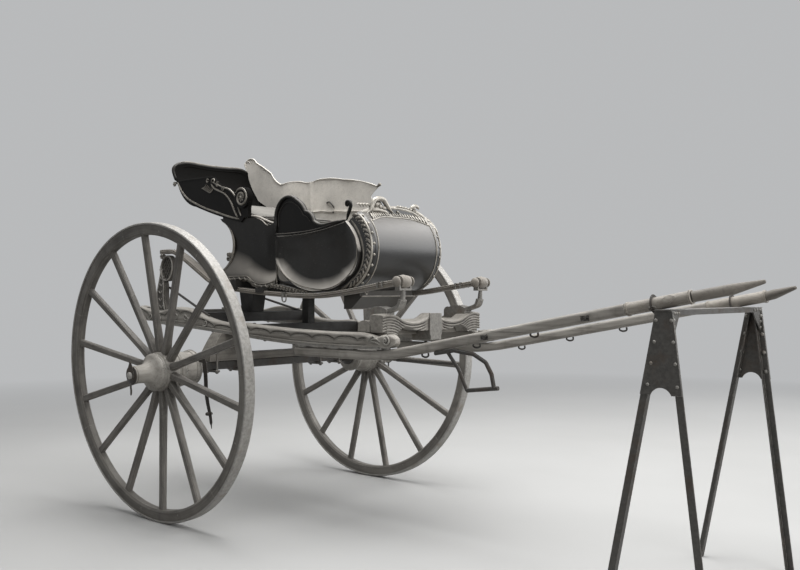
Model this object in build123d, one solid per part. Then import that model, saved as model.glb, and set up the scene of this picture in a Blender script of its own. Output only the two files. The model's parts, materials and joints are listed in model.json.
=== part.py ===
"""Two-wheeled horse-drawn chaise: a shell seat behind a barrel front, hung on leather braces over two
carved rails, with long shafts that rest on an iron trestle. Millimetres, +X forward, +Y left, +Z up,
ground at Z = 0. The model is drawn with the axle at X = 0, and the last lines move each piece so that
X = 0 is the middle of the whole length."""
import os
from math import asin, cos, degrees, hypot, radians, sin

from build123d import *

os.makedirs("parts", exist_ok=True)

# Wheels
wheel_dia = 1500.0
wheel_camber = 3.0
rim_track_half = 815.0
tyre_width = 56.0
tyre_thick = 10.0
felloe_depth = 52.0
felloe_width = 48.0
felloe_count = 7
felloe_seam = 0.6
dish = 50.0
spoke_count = 14
spoke_r_rim = 14.0
spoke_r_nave = 21.0
nave_in = 235.0
nave_out = 85.0
spoke_ring_r = 98.0

# Axle; its height in the drawing is kept, so larger wheels lift the whole carriage off the ground
axle_z = 750.4374
arm_r = 24.0
arm_clear = 0.1
joint_gap = 0.2
washer_gap = 5.0
arm_past_nave = 62.0
arm_nut_r = 30.0
axle_iron = 46.0
bolster_width = 84.0
bolster_top = 946.0

# Rails and shafts
rail_y = 380.0
rail_width = 62.0
rail_iron_thick = 13.0
rail_iron_gap = 0.3
shaft_height = 44.0
shaft_width = 50.0
shaft_rear_x = 590.0
shaft_bend_x = 1160.0
shaft_low_z = 861.0
sleeve_start_x = 2360.0
sleeve_end_x = 2610.0
sleeve_r = 24.0
shaft_draw_in = 15.0
tip_draw_in = 75.0
tip_taper = 105.0
tip_r = 20.0
tip_end_r = 8.0
right_tip = (2840.0, 1187.0)
left_tip = (2755.0, 1169.0)

draught_bore_r = 8.0
draught_x = 1100.0

# Trestle
trestle_x = 2535.0
trestle_half = 440.0
trestle_frame_y = 428.0
trestle_top = 1090.0
trestle_angle = 28.0
trestle_web = 24.0
trestle_metal = 5.0
trestle_rail_half = 31.0
rail_flange = 16.0
foot_rear_x = 2286.0
foot_front_x = 2697.0
plate_bottom = 788.0

# Body
wall = 16.0
box_half = 262.0
drum_proud = 4.0
disc_thick = 18.0
wing_proud = 28.0
cushion_clear = 13.7
drum_front_r = 212.0
drum_centre = (772.0, 1362.0)
drum_rim_z = 1545.0
drum_low_deg = -70.0
drum_rear_x = 300.0
drum_rear_z = 1195.0
drum_belly = (600.0, 1148.0)
drum_edge_r = 30.0
rim_crest = 1578.0
back_top = 1926.0
ear_thick = 12.0
ear_roll = 9.0

# Braces
brace_y = 298.0
brace_width = 62.0
brace_thick = 20.0
roller = (1207.0, 1200.0)
roller_r = 14.0
loop_thick = 13.0

wheel_r = wheel_dia / 2
camber_c = cos(radians(wheel_camber))
camber_s = sin(radians(wheel_camber))
shaft_front_y = rail_y - shaft_draw_in
tip_y = shaft_front_y - tip_draw_in
drum_half = box_half + drum_proud
wing_half = box_half + wing_proud
ground_z = axle_z - wheel_r * camber_c - tyre_width / 2 * camber_s
nodes = []


def write(name, *shapes):
    """Keep one node; several shapes are solids that do not touch."""
    solids = []
    for shape in shapes:
        solids.extend(shape.solids())
    nodes.append((name, solids))


def outline(start, *legs):
    """Closed face in the XZ plane. Each leg is (end,) for a straight run or (via, end) for an arc."""
    here = start
    edges = []
    for leg in legs:
        if len(leg) == 1:
            edges.append(Line(here, leg[0]))
        else:
            edges.append(ThreePointArc(here, leg[0], leg[1]))
        here = leg[-1]
    if hypot(here[0] - start[0], here[1] - start[1]) > 0.01:
        edges.append(Line(here, start))
    return make_face(edges)


def slab(face, y_from, y_to):
    """Extrude an XZ face from one Y to another."""
    return Pos(0, max(y_from, y_to), 0) * extrude(Plane.XZ * face, abs(y_to - y_from))


def other_side(shape):
    return shape.mirror(Plane.XZ)


def block(x0, x1, y0, y1, z0, z1):
    return Pos((x0 + x1) / 2, (y0 + y1) / 2, (z0 + z1) / 2) * Box(abs(x1 - x0), abs(y1 - y0), abs(z1 - z0))


def rod(a, b, r, r_end=None):
    """Round bar or cone from a to b."""
    a = Vector(*a)
    b = Vector(*b)
    plane = Plane(origin=a, z_dir=b - a)
    height = (b - a).length
    if r_end is None:
        solid = Cylinder(r, height, align=(Align.CENTER, Align.CENTER, Align.MIN))
    else:
        solid = Cone(r, r_end, height, align=(Align.CENTER, Align.CENTER, Align.MIN))
    return plane * solid


def bent_rod(points, r, bend):
    path = FilletPolyline(*points, radius=bend)
    start = Plane(origin=path @ 0, z_dir=path % 0)
    return sweep(start * Circle(r), path=path)


def bent_bar(points, wide, thick, bend, x_dir):
    """Flat bar swept along a bent path; x_dir is the direction of its width."""
    path = FilletPolyline(*points, radius=bend)
    start = Plane(origin=path @ 0, x_dir=x_dir, z_dir=path % 0)
    return sweep(start * Rectangle(wide, thick), path=path)


# Wheels: drawn about local Z, outward along +Z, rim centre plane at local Z = 0
def wheel_place(side):
    return Plane(origin=(0, side * rim_track_half, axle_z), x_dir=(1, 0, 0),
                 z_dir=(0, side * camber_c, -camber_s))


def turned(points):
    """Revolve a (radius, height) profile about local Z."""
    return revolve(Plane.XZ * make_face(Polyline(*points, close=True)), Axis.Z)


tyre_in = wheel_r - tyre_thick
felloe_out = tyre_in - joint_gap
felloe_in = felloe_out - felloe_depth
half_tyre = tyre_width / 2
half_felloe = felloe_width / 2
tyre_local = turned([(tyre_in, -half_tyre), (wheel_r - 3, -half_tyre), (wheel_r, -half_tyre + 4),
                     (wheel_r, half_tyre - 4), (wheel_r - 3, half_tyre), (tyre_in, half_tyre)])
rim_local = turned([(felloe_out, -half_felloe), (felloe_out, half_felloe), (felloe_in + 10, half_felloe),
                    (felloe_in, half_felloe - 8), (felloe_in, -half_felloe + 8),
                    (felloe_in + 10, -half_felloe)])
seam_step = 360.0 / felloe_count
for number in range(felloe_count):
    seam = Rot(0, 0, number * seam_step) * (Pos(felloe_in + felloe_depth / 2, 0, 0)
                                            * Box(felloe_depth * 1.5, felloe_seam, felloe_width * 1.5))
    rim_local = rim_local - seam

bore_r = arm_r + arm_clear
# Nave profile: (radius, height along the axle), from the inner end to the outer end
nave_profile = [
    (bore_r, -nave_in), (80, -nave_in), (90, -nave_in + 4), (90, -nave_in + 30), (84, -nave_in + 32),
    (86, -nave_in + 60), (92, -135), (92, -122), (98, -118), (98, -104), (92, -100), (92, -88),
    (spoke_ring_r, -84), (spoke_ring_r, -18), (90, -14), (90, -6), (94, -4), (94, 4), (84, 8), (78, 22),
    (64, 44), (58, 58), (58, 62), (63, 64), (63, nave_out - 4), (60, nave_out), (bore_r, nave_out),
]
nave_local = turned(nave_profile)
raw_spoke = rod((spoke_ring_r - 12, 0, -dish - 1), (felloe_in + 12, 0, 1), spoke_r_nave, spoke_r_rim)
trim = turned([(spoke_ring_r + joint_gap, -150), (spoke_ring_r + joint_gap, 90),
               (felloe_in - joint_gap, 90), (felloe_in - joint_gap, -150)])
spoke_local = (raw_spoke & trim).solids()[0]

for name, side, first_deg in (("right", -1, 92.3), ("left", 1, -2.0)):
    home = wheel_place(side)
    write(name + "_tyre", home * tyre_local)
    turn_rim = Rot(0, 0, -side * (first_deg + 180.0 / spoke_count))
    write(name + "_felloes", home * (turn_rim * rim_local))
    spokes = []
    for number in range(spoke_count):
        spokes.append(home * (Rot(0, 0, -side * (first_deg + number * 360.0 / spoke_count)) * spoke_local))
    write(name + "_spokes", *spokes)
    write(name + "_nave", home * nave_local)

# Axle: iron bed with one cambered arm each side, shoulder inside the nave, linchpin and boss outside
shoulder_local_z = -nave_in - washer_gap
arm_end_z = nave_out + arm_past_nave
arm_local = turned([(0, shoulder_local_z - 60), (34, shoulder_local_z - 60), (52, shoulder_local_z - 18),
                    (52, shoulder_local_z), (arm_r, shoulder_local_z), (arm_r, nave_out + washer_gap),
                    (arm_nut_r + 8, nave_out + washer_gap), (arm_nut_r + 8, nave_out + washer_gap + 8),
                    (arm_nut_r, nave_out + washer_gap + 10), (arm_nut_r, arm_end_z - 8),
                    (arm_nut_r - 8, arm_end_z), (0, arm_end_z)])
bed_end_y = rim_track_half - nave_in - washer_gap - 30
axle = block(-axle_iron / 2, axle_iron / 2, -bed_end_y, bed_end_y,
             axle_z + 14 - axle_iron / 2, axle_z + 14 + axle_iron / 2)
for side in (-1, 1):
    axle = axle + wheel_place(side) * arm_local
write("axle", axle)

linchpins = []
for side in (-1, 1):
    pin_z = nave_out + washer_gap + 22
    home = wheel_place(side)
    up = -side
    pin = Pos(0, 0, pin_z) * (Pos(0, up * (arm_nut_r + 0.3 + 12), 0) * Box(16, 24, 12))
    tail = Pos(0, 0, pin_z) * (Pos(0, -up * (arm_nut_r + 0.3 + 24), 0) * Box(13, 48, 8))
    linchpins.extend([home * pin, home * tail])
write("linchpins", *linchpins)

# Wooden axle tree on the iron bed, rising to the rails in curved brackets
bed_top = axle_z + axle_iron / 2 + 14
tree_end = bed_end_y - 42
bolster_face = make_face([
    Line((-tree_end, bed_top), (tree_end, bed_top)),
    Line((tree_end, bed_top), (tree_end - 6, bed_top + 40)),
    ThreePointArc((tree_end - 6, bed_top + 40), (rail_y + 60, bolster_top - 30), (rail_y + 36, bolster_top)),
    Line((rail_y + 36, bolster_top), (rail_y - 40, bolster_top)),
    ThreePointArc((rail_y - 40, bolster_top), (rail_y - 90, bed_top + 60), (rail_y - 190, bed_top + 38)),
    Line((rail_y - 190, bed_top + 38), (-rail_y + 190, bed_top + 38)),
    ThreePointArc((-rail_y + 190, bed_top + 38), (-rail_y + 90, bed_top + 60), (-rail_y + 40, bolster_top)),
    Line((-rail_y + 40, bolster_top), (-rail_y - 36, bolster_top)),
    ThreePointArc((-rail_y - 36, bolster_top), (-rail_y - 60, bolster_top - 30),
                  (-tree_end + 6, bed_top + 40)),
    Line((-tree_end + 6, bed_top + 40), (-tree_end, bed_top)),
])
bolster = Pos(-bolster_width / 2, 0, 0) * extrude(Plane.YZ * bolster_face, bolster_width)

# Side rails: carved crest behind, plain round top in front, scrolled front end
rail_face = outline(
    (-790, 1030),
    ((-770, 1066), (-720, 1070)),
    ((-600, 1046), (-480, 1058)),
    ((-330, 1068), (-200, 1040)),
    ((-60, 1004), (200, 994)),
    ((600, 971), (1030, 966)),
    ((1090, 958), (1140, 944)),
    ((1180, 958), (1222, 957)),
    ((1246, 934), (1222, 908)),
    ((1195, 903), (1168, 904)),
    ((600, 907), (200, 933)),
    ((-200, 962), (-600, 986)),
    ((-760, 990), (-790, 1030)),
)
rail = slab(rail_face, rail_y - rail_width / 2, rail_y + rail_width / 2)
iron_top = rail_iron_gap
iron_low = rail_iron_gap + rail_iron_thick
iron_face = outline(
    (-600, 986 - iron_top),
    ((-200, 962 - iron_top), (200, 933 - iron_top)),
    ((600, 907 - iron_top), (1168, 904 - iron_top)),
    ((1168, 904 - iron_low),),
    ((600, 907 - iron_low), (200, 933 - iron_low)),
    ((-200, 962 - iron_low), (-600, 986 - iron_low)),
)
shaft_top = shaft_low_z + shaft_height / 2
rail_iron = slab(iron_face, rail_y - 25, rail_y + 25)
pad_top = outline((500, 1000), ((500, 902 - iron_top),), ((960, 893),), ((960, 1000),))
for pad_x in (640, 860):
    pad = block(pad_x - 26, pad_x + 26, rail_y - 22, rail_y + 22, shaft_top + 0.3, 900)
    rail_iron = rail_iron + (pad - slab(pad_top, rail_y - 60, rail_y + 60))
write("left_rail", rail)
write("right_rail", other_side(rail))
write("rail_irons", rail_iron, other_side(rail_iron))
under_iron = outline(
    (-600, 986 - iron_low - 0.3),
    ((-200, 962 - iron_low - 0.3), (200, 933 - iron_low - 0.3)),
    ((200, 1100),),
    ((-600, 1100),),
)
axle_tree = bolster
for side in (-1, 1):
    axle_tree = axle_tree - slab(under_iron, side * (rail_y - 90), side * (rail_y + 90))
write("axle_tree", axle_tree)

# Shafts: straight under the rail, then rising to the trestle and the sleeve, with a slim lifted tip
rise_x0 = shaft_bend_x
rest_x = trestle_x - trestle_rail_half
rest_z = trestle_top + sleeve_r * 1.018 + 0.3
rise_slope = (rest_z - shaft_low_z) / (rest_x - rise_x0)
sleeve_start_z = shaft_low_z + rise_slope * (sleeve_start_x - rise_x0)
sleeve_end_z = shaft_low_z + rise_slope * (sleeve_end_x - rise_x0)


def shaft_y(x):
    """The shafts draw together from the bend to the sleeve's end."""
    return rail_y + (shaft_front_y - rail_y) * (x - shaft_bend_x) / (sleeve_end_x - shaft_bend_x)


shaft_path = FilletPolyline(
    (shaft_rear_x, rail_y, shaft_low_z),
    (shaft_bend_x, rail_y, shaft_low_z),
    (sleeve_start_x, shaft_y(sleeve_start_x), sleeve_start_z),
    radius=1500,
)
shaft_start = Plane(origin=shaft_path @ 0, x_dir=(0, 1, 0), z_dir=shaft_path % 0)
shaft_wood = sweep(shaft_start * RectangleRounded(shaft_width, shaft_height, 14), path=shaft_path)
sleeve = rod((sleeve_start_x + 0.3, shaft_y(sleeve_start_x), sleeve_start_z),
             (sleeve_end_x, shaft_y(sleeve_end_x), sleeve_end_z), sleeve_r)


def shaft_tip(end_x, end_z):
    """Tip from the sleeve's end, which tapers and lifts over its last part."""
    start = Vector(sleeve_end_x + 0.5, shaft_y(sleeve_end_x + 0.5), sleeve_end_z + 0.5 * rise_slope)
    end = Vector(end_x - tip_end_r, tip_y, end_z)
    share = (end_x - tip_taper - start.X) / (end.X - start.X)
    middle = Vector(start.X + (end.X - start.X) * share, start.Y + (end.Y - start.Y) * share,
                    start.Z + (end.Z - start.Z) * share * 0.88)
    straight = rod(start, middle, tip_r) + Pos(middle.X, middle.Y, middle.Z) * Sphere(tip_r)
    straight = straight - sleeve - Pos(0.3, 0, 0) * sleeve
    return straight + rod(middle, end, tip_r, tip_end_r) + Pos(end.X, end.Y, end.Z) * Sphere(tip_end_r)


write("left_shaft", shaft_wood)
write("right_shaft", other_side(shaft_wood))
write("shaft_sleeves", sleeve, other_side(sleeve))
write("shaft_tips", shaft_tip(*left_tip), other_side(shaft_tip(*right_tip)))

# Front crossbar: shaped top edge, reeded front, arches below
cross_front = 1150.0
cross_rear = 1066.0
beam_rear = 991.0
beam_top = 1023.0
cross_half = rail_y - 8
clip_thick = 8.0
wave = cross_half / 372
cross_face = make_face([
    Line((-cross_half, 950), (-cross_half, 1046)),
    ThreePointArc((-cross_half, 1046), (-300 * wave, 1050), (-242 * wave, 1028)),
    ThreePointArc((-242 * wave, 1028), (-130 * wave, 1012), (-20, 1044)),
    ThreePointArc((-20, 1044), (0, 1050), (20, 1044)),
    ThreePointArc((20, 1044), (130 * wave, 1012), (242 * wave, 1028)),
    ThreePointArc((242 * wave, 1028), (300 * wave, 1050), (cross_half, 1046)),
    Line((cross_half, 1046), (cross_half, 950)),
    Line((cross_half, 950), (268 * wave, 954)),
    Line((268 * wave, 954), (262 * wave, 967)),
    ThreePointArc((262 * wave, 967), (205 * wave, 990), (150 * wave, 976)),
    ThreePointArc((150 * wave, 976), (90 * wave, 968), (44, 970)),
    Line((44, 970), (-44, 970)),
    ThreePointArc((-44, 970), (-90 * wave, 968), (-150 * wave, 976)),
    ThreePointArc((-150 * wave, 976), (-205 * wave, 990), (-262 * wave, 967)),
    Line((-262 * wave, 967), (-268 * wave, 954)),
    Line((-268 * wave, 954), (-cross_half, 950)),
])
crossbar = Pos(cross_rear, 0, 0) * extrude(Plane.YZ * cross_face, cross_front - cross_rear)
beam_mid = (beam_rear + cross_rear) / 2
beam_face = outline((beam_rear, 950), ((beam_rear, beam_top - 26),),
                    ((beam_mid, beam_top), (cross_rear + 5, beam_top - 26)), ((cross_rear + 5, 950),))
crossbar = crossbar + slab(beam_face, -cross_half, cross_half)
crossbar = crossbar - Pos(0, 0, 0.3) * rail - Pos(0, 0, 0.3) * other_side(rail) - rail - other_side(rail)
write("front_crossbar", crossbar)
clip = block(cross_front + 0.3, cross_front + clip_thick, -44, 44, 945, 1051)
clip = clip + block(cross_rear - 28, cross_front + clip_thick, -40, 40, 922, 969.7)
clip = clip - crossbar - Pos(0, 0, -0.3) * crossbar - Pos(draught_x, 0, 900) * Cylinder(draught_bore_r, 400)
write("crossbar_clip", clip)


# Front irons with forks, rollers between their ears
ring_out = roller_r + 1.2 + loop_thick
fork_gap = brace_width + 4
fork_wide = fork_gap + 16
iron_path = [(1035, brace_y, 1063), (1120, brace_y, 1063), (1192, brace_y, 1085), (1203, brace_y, 1118)]
front_iron = bent_bar(iron_path, 44, 16, 30, (0, 1, 0))
yoke_low = roller[1] - ring_out - 12
front_iron = front_iron + rod((1202, brace_y, 1108), (1207, brace_y, yoke_low + 4), 13, 9)
front_iron = front_iron + block(1193, 1221, brace_y - fork_wide / 2, brace_y + fork_wide / 2,
                                yoke_low, yoke_low + 10)
for ear in (-1, 1):
    ear_face = outline((1193, yoke_low), ((1193, 1200),), ((1207, 1216), (1221, 1200)), ((1221, yoke_low),))
    y0 = brace_y + ear * fork_gap / 2
    front_iron = front_iron + slab(ear_face, y0, y0 + ear * 8)
foot_face = outline((992, 1000), ((992, 1052),), ((1002, 1074), (1026, 1076)), ((1070, 1086), (1128, 1070)),
                    ((1128, 1000),))
foot = slab(foot_face, brace_y - 28, brace_y + 28) - Pos(0, 0, 0.3) * crossbar - crossbar
front_iron = front_iron + foot.solids().sort_by(SortBy.VOLUME)[-1]
front_iron = front_iron - Pos(0, 0, 0.3) * crossbar - crossbar
front_iron = front_iron.solids().sort_by(SortBy.VOLUME)[-1]
front_iron = front_iron - rod((roller[0], brace_y - 60, roller[1]), (roller[0], brace_y + 60, roller[1]), 7.3)
write("front_irons", front_iron, other_side(front_iron))
roller_half = fork_gap / 2 - 0.5
brace_roller = rod((roller[0], brace_y - roller_half, roller[1]),
                   (roller[0], brace_y + roller_half, roller[1]), roller_r)
brace_roller = brace_roller + rod((roller[0], brace_y - fork_wide / 2 - 6, roller[1]),
                                  (roller[0], brace_y + fork_wide / 2 + 6, roller[1]), 7)
write("brace_rollers", brace_roller, other_side(brace_roller))

# Rear crossbar with a scrolled standard each side; the braces end on the standards
standard_x = -725.0
standard_y = 250.0
standard_r = 82.0
standard_top = 1382.0
rear_bar_top = 1046.0
rear_bar = block(standard_x - 45, standard_x + 35, -rail_y + rail_width / 2, rail_y - rail_width / 2,
                 1000, rear_bar_top)
write("rear_crossbar", rear_bar)
post_face = outline((-768, rear_bar_top), ((-792, 1130), (-748, 1236)), ((-702, 1236),),
                    ((-706, 1140), (-692, rear_bar_top)))
ring_c = (standard_x, standard_top - standard_r)
standard = slab(post_face, standard_y - 22, standard_y + 22)
ring = rod((ring_c[0], standard_y - 22, ring_c[1]), (ring_c[0], standard_y + 22, ring_c[1]), standard_r)
ring = ring - rod((ring_c[0], standard_y - 30, ring_c[1]), (ring_c[0], standard_y + 30, ring_c[1]),
                  standard_r - 30)
ring = ring - block(ring_c[0] + 8, ring_c[0] + 120, standard_y - 40, standard_y + 40,
                    ring_c[1] - 62, ring_c[1] - 8)
curl = block(ring_c[0] + 6, ring_c[0] + 60, standard_y - 22, standard_y + 22, ring_c[1] - 10, ring_c[1] + 8)
curl = curl + rod((ring_c[0] + 4, standard_y - 22, ring_c[1]),
                  (ring_c[0] + 4, standard_y + 22, ring_c[1]), 22)
standard = standard + ring + curl
write("left_rear_standard", standard)
write("right_rear_standard", other_side(standard))
stay = rod((-693, standard_y - 10, 1180), (-130, rail_y - 6, 1022), 7)
stay = stay - standard - Pos(0, 0, 0.3) * rail - rail
stay = stay.solids().sort_by(SortBy.VOLUME)[-1]
write("rear_stays", stay, other_side(stay))

# Braces: one leather band each side from the rear standard, under the body, to the roller
brace_line = [(-762, 1393.5), (-620, 1393.5), (-478, 1340), (-243, 1212), (-23, 1168), (293, 1143),
              (600, 1130), (852, 1153), (1188, 1200)]
brace_path = FilletPolyline(*brace_line, radius=90)
brace_start = Plane(origin=(brace_line[0][0], 0, brace_line[0][1]), x_dir=(0, 1, 0), z_dir=(1, 0, 0))
brace_band = sweep(brace_start * Rectangle(brace_width, brace_thick), path=Plane.XZ * brace_path)
brace_ring = rod((roller[0], -brace_width / 2, roller[1]), (roller[0], brace_width / 2, roller[1]), ring_out)
brace = brace_band + brace_ring
brace = brace - rod((roller[0], -60, roller[1]), (roller[0], 60, roller[1]), roller_r + 1.2)
brace_turn = degrees(asin((brace_y - standard_y) / (roller[0] - standard_x)))
brace = Pos(roller[0], brace_y, 0) * (Rot(0, 0, brace_turn) * (Pos(-roller[0], 0, 0) * brace))
write("left_brace", brace)
write("right_brace", other_side(brace))

# Cross members between the rails and the buffers on them
members = []
buffers = []
for x0, x1, z0, z1 in ((-265, -165, 985, 1040), (215, 295, 930, 985)):
    members.append(block(x0, x1, -rail_y + rail_width / 2, rail_y - rail_width / 2, z0, z1))
write("middle_crossbars", *members)
buffers.append(slab(outline((-258, 1040), ((-280, 1155),), ((-150, 1155),), ((-172, 1040),)), -45, 45))
buffers.append(block(235, 280, -25, 25, 985, 1118))
write("body_buffers", *buffers)

# Seat shell: curved scoop with a wing and a scroll each side
scoop_outer = [((-158, 1576), (-369, 1640)), ((-480, 1692), (-540, 1775)), ((-582, 1850), (-598, back_top))]
scoop_face = outline((30, 1531), *scoop_outer, ((-582, back_top),), ((-565, 1853), (-524, 1782)),
                     ((-467, 1705), (-364, 1656)), ((-155, 1592), (33, 1547)))
scoop = slab(scoop_face, -wing_half, wing_half)
crown_edge = back_top - 56
crown_face = make_face([
    Line((-wing_half, 1400), (-wing_half, crown_edge)),
    ThreePointArc((-wing_half, crown_edge), (-wing_half + 26, crown_edge + 36), (-wing_half + 100, back_top)),
    ThreePointArc((-wing_half + 100, back_top), (0, back_top - 9), (wing_half - 100, back_top)),
    ThreePointArc((wing_half - 100, back_top), (wing_half - 26, crown_edge + 36), (wing_half, crown_edge)),
    Line((wing_half, crown_edge), (wing_half, 1400)),
    Line((wing_half, 1400), (-wing_half, 1400)),
])
scoop = scoop & (Pos(-700, 0, 0) * extrude(Plane.YZ * crown_face, 900))
wing_face = outline((30, 1531), scoop_outer[0], scoop_outer[1], ((-553, 1801),), ((-270, 1802),),
                    ((-205, 1792), (-168, 1755)), ((-140, 1740), (-105, 1735)), ((-35, 1700), (8, 1640)),
                    ((60, 1557),))
volute_c = (48, 1664)
volute_r = 58
neck_face = outline((-4, 1640), ((20, 1557),), ((98, 1557),), ((92, 1590), (102, 1640)))
shell = scoop
for side in (-1, 1):
    shell = shell + slab(wing_face, side * (wing_half - wall), side * wing_half)
    shell = shell + slab(neck_face, side * (wing_half - 24), side * wing_half)
    shell = shell + rod((volute_c[0], side * (wing_half - 24), volute_c[1]),
                        (volute_c[0], side * (wing_half + 10), volute_c[1]), volute_r)
write("seat_shell", shell)

# Seat box below it: hollow, with a waisted rear wall, dipped sides and a scalloped bottom
box_face = outline((-108, 1219), ((66, 1219),), ((92, 1208), (111, 1194)),
                   ((200, 1177), (drum_rear_x - 0.3, 1195)), ((drum_rear_x - 0.3, 1532),),
                   ((273, 1511), (208, 1530)), ((160, 1551), (110, 1556.7)), ((50, 1556.7),), ((0, 1620),),
                   ((-158, 1620),), ((-158, 1560),), ((-50, 1405), (-155, 1268)), ((-140, 1240), (-108, 1219)))
box_inner = outline((-118, 1239), ((330, 1239),), ((330, 1700),), ((-142, 1700),), ((-142, 1562),),
                    ((-34, 1405), (-139, 1268)))
seat_box = slab(box_face, -box_half, box_half) - slab(box_inner, -box_half + wall, box_half - wall)
above_scoop = outline((32, 1530), ((-158, 1575), (-369, 1639)), ((-369, 1800),), ((49, 1800),), ((49, 1530),))
seat_box = seat_box - slab(above_scoop, -400, 400)
seat_box = seat_box.solids().sort_by(SortBy.VOLUME)[-1]
write("seat_box", seat_box)
inner_half = box_half - wall - 0.3
board_top = 1515.0
seat_board = block(-58, 284, -inner_half, inner_half, board_top - wall, board_top)
write("seat_board", seat_board)
write("seat_riser", block(268, 284, -inner_half, inner_half, 1239.3, board_top - wall - 0.3))
cushion_face = outline((264, board_top + 0.3), ((50, board_top + 0.3),), ((50, 1546),),
                       ((-150, 1594), (-250, 1622)), ((-238, 1676),), ((-100, 1632), (60, 1592)),
                       ((200, 1576), (264, 1570)))
cushion_half = inner_half - cushion_clear
write("seat_cushion", slab(cushion_face, -cushion_half, cushion_half))

# Barrel front: hollow, open above and behind, with rounded ends and a raised disc each side
low = radians(drum_low_deg)
rim_angle = asin((drum_rim_z - drum_centre[1]) / drum_front_r)


def drum_point(radius, angle):
    return (drum_centre[0] + radius * cos(angle), drum_centre[1] + radius * sin(angle))


outer_low = drum_point(drum_front_r, low)
outer_mid = drum_point(drum_front_r, 0.0)
outer_rim = drum_point(drum_front_r, rim_angle)
inner_r = drum_front_r - wall
inner_low = drum_point(inner_r, low)
inner_mid = drum_point(inner_r, 0.0)
inner_rim = drum_point(inner_r, rim_angle)
side_top = 1478.0
drum_face = outline((drum_rear_x, drum_rear_z), (drum_belly, outer_low), (outer_mid, outer_rim), (inner_rim,),
                    ((800, side_top),), ((drum_rear_x, side_top),))
drum_inner = outline((drum_rear_x - 50, drum_rear_z + wall + 6),
                     ((drum_belly[0], drum_belly[1] + wall), inner_low), (inner_mid, inner_rim),
                     ((inner_rim[0] - 2, 1700),), ((drum_rear_x - 50, 1700),))
drum_solid = slab(drum_face, -drum_half, drum_half)
end_arcs = [edge for edge in drum_solid.edges().filter_by(GeomType.CIRCLE)
            if abs(abs(edge.center().Y) - drum_half) < 1]
drum_solid = fillet(end_arcs, drum_edge_r)
drum = drum_solid - slab(drum_inner, -drum_half + wall, drum_half - wall)
crest_half = drum_half - drum_edge_r
crest_face = make_face([
    Line((-crest_half, 1520), (-crest_half, 1538)),
    ThreePointArc((-crest_half, 1538), (-crest_half * 0.7, 1564), (-crest_half * 0.34, rim_crest)),
    ThreePointArc((-crest_half * 0.34, rim_crest), (0, rim_crest + 3), (crest_half * 0.34, rim_crest)),
    ThreePointArc((crest_half * 0.34, rim_crest), (crest_half * 0.7, 1564), (crest_half, 1538)),
    Line((crest_half, 1538), (crest_half, 1520)),
    Line((crest_half, 1520), (-crest_half, 1520)),
])
drum = drum + Pos(outer_rim[0] - 14, 0, 0) * extrude(Plane.YZ * crest_face, wall)
write("drum", drum)
disc_face = outline((305, 1330), ((305, 1450),), ((560, 1456), (822, 1500)), ((880, 1435), (909, 1358)),
                    ((893, 1272), (827, 1214)), ((756, 1172), (667, 1158)), ((470, 1178), (360, 1248)),
                    ((325, 1283), (305, 1330)))
disc_plate = slab(disc_face, drum_half + 0.3, drum_half + disc_thick - 8)
disc_bead = slab(disc_face - offset(disc_face, -9), drum_half + 0.3, drum_half + disc_thick)
dome_face = offset(disc_face, -18)
dome = Pos(0, drum_half + disc_thick - 8.5, 0) * extrude(Plane.XZ * dome_face, -8, taper=62)
disc = disc_plate + disc_bead + dome
write("drum_discs", disc, other_side(disc))

# Side ears: leaf-shaped panels above the discs with a rolled edge
ear_outline = outline((305, 1450.5), ((305, 1535),), ((318, 1590), (345, 1628)), ((405, 1652), (475, 1629)),
                      ((514, 1602), (540, 1566)), ((576, 1552), (600, 1514)), ((640, 1496), (700, 1497)),
                      ((760, 1503), (812, 1506)), ((812, 1500),), ((560, 1457), (305, 1450.5)))
ear_rim = ear_outline - offset(ear_outline, -ear_roll)
ear = slab(ear_outline, drum_half + 0.3, drum_half + ear_thick)
ear = ear + slab(ear_rim, drum_half + 0.3, drum_half + ear_thick + ear_roll)
disc_space = slab(disc_face, drum_half - 1, drum_half + 60)
ear = ear - disc_space - Pos(0, 0, 0.3) * disc_space
write("side_ears", ear, other_side(ear))

# Box under the barrel front and the bearers that lie on the braces
under_half = box_half - 62
under_face = outline((729, 1068), ((777, 1068),), ((850, 1129),), ((850, 1134),), ((838, 1134),),
                     ((838, 1220),), ((741, 1220),), ((741, 1134),), ((729, 1134),))
under_box = slab(under_face, -under_half, under_half) - Pos(0, 0, -0.3) * drum_solid - drum_solid
under_box = under_box.solids().sort_by(SortBy.VOLUME)[-1]
write("under_box", under_box)
bearers = []
for x0, x1, z0, z1 in ((-45, 15, 1166, 1218.7), (180, 240, 1150, 1177)):
    bearer = block(x0, x1, -brace_y - 14, brace_y + 14, z0, z1)
    for band in (brace, other_side(brace)):
        bearer = bearer - Pos(0, 0, 0.3) * band
    bearers.append(bearer.solids().sort_by(SortBy.VOLUME)[-1])
write("body_bearers", *bearers)

# Apron: stiff sheet standing inside the left side of the body, from the back to the barrel
apron_y = wing_half - 24 - 0.6
apron_face = outline((-560, 1815), ((-606, 1972),), ((-590, 1986), (-495, 1967)), ((-427, 1930), (-353, 1886)),
                     ((-307, 1835), (-261, 1811)), ((-171, 1820), (-83, 1815)), ((-13, 1804), (55, 1815)),
                     ((171, 1815), (274, 1799)), ((380, 1785), (549, 1735)), ((530, 1712), (482, 1684)),
                     ((500, 1610), (548, 1540)), ((548, side_top + 0.3),),
                     ((drum_rear_x + 1, side_top + 0.3),),
                     ((drum_rear_x + 1, 1557),), ((60, 1557),), ((-150, 1650),), ((-330, 1690), (-440, 1740)))
below_seat = outline((52, 1549), ((-155, 1594), (-364, 1658)), ((-466, 1707), (-523, 1784)),
                     ((-563, 1855), (-580, back_top + 1)), ((-700, back_top + 1),), ((-700, 1400),),
                     ((52, 1400),))
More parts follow.
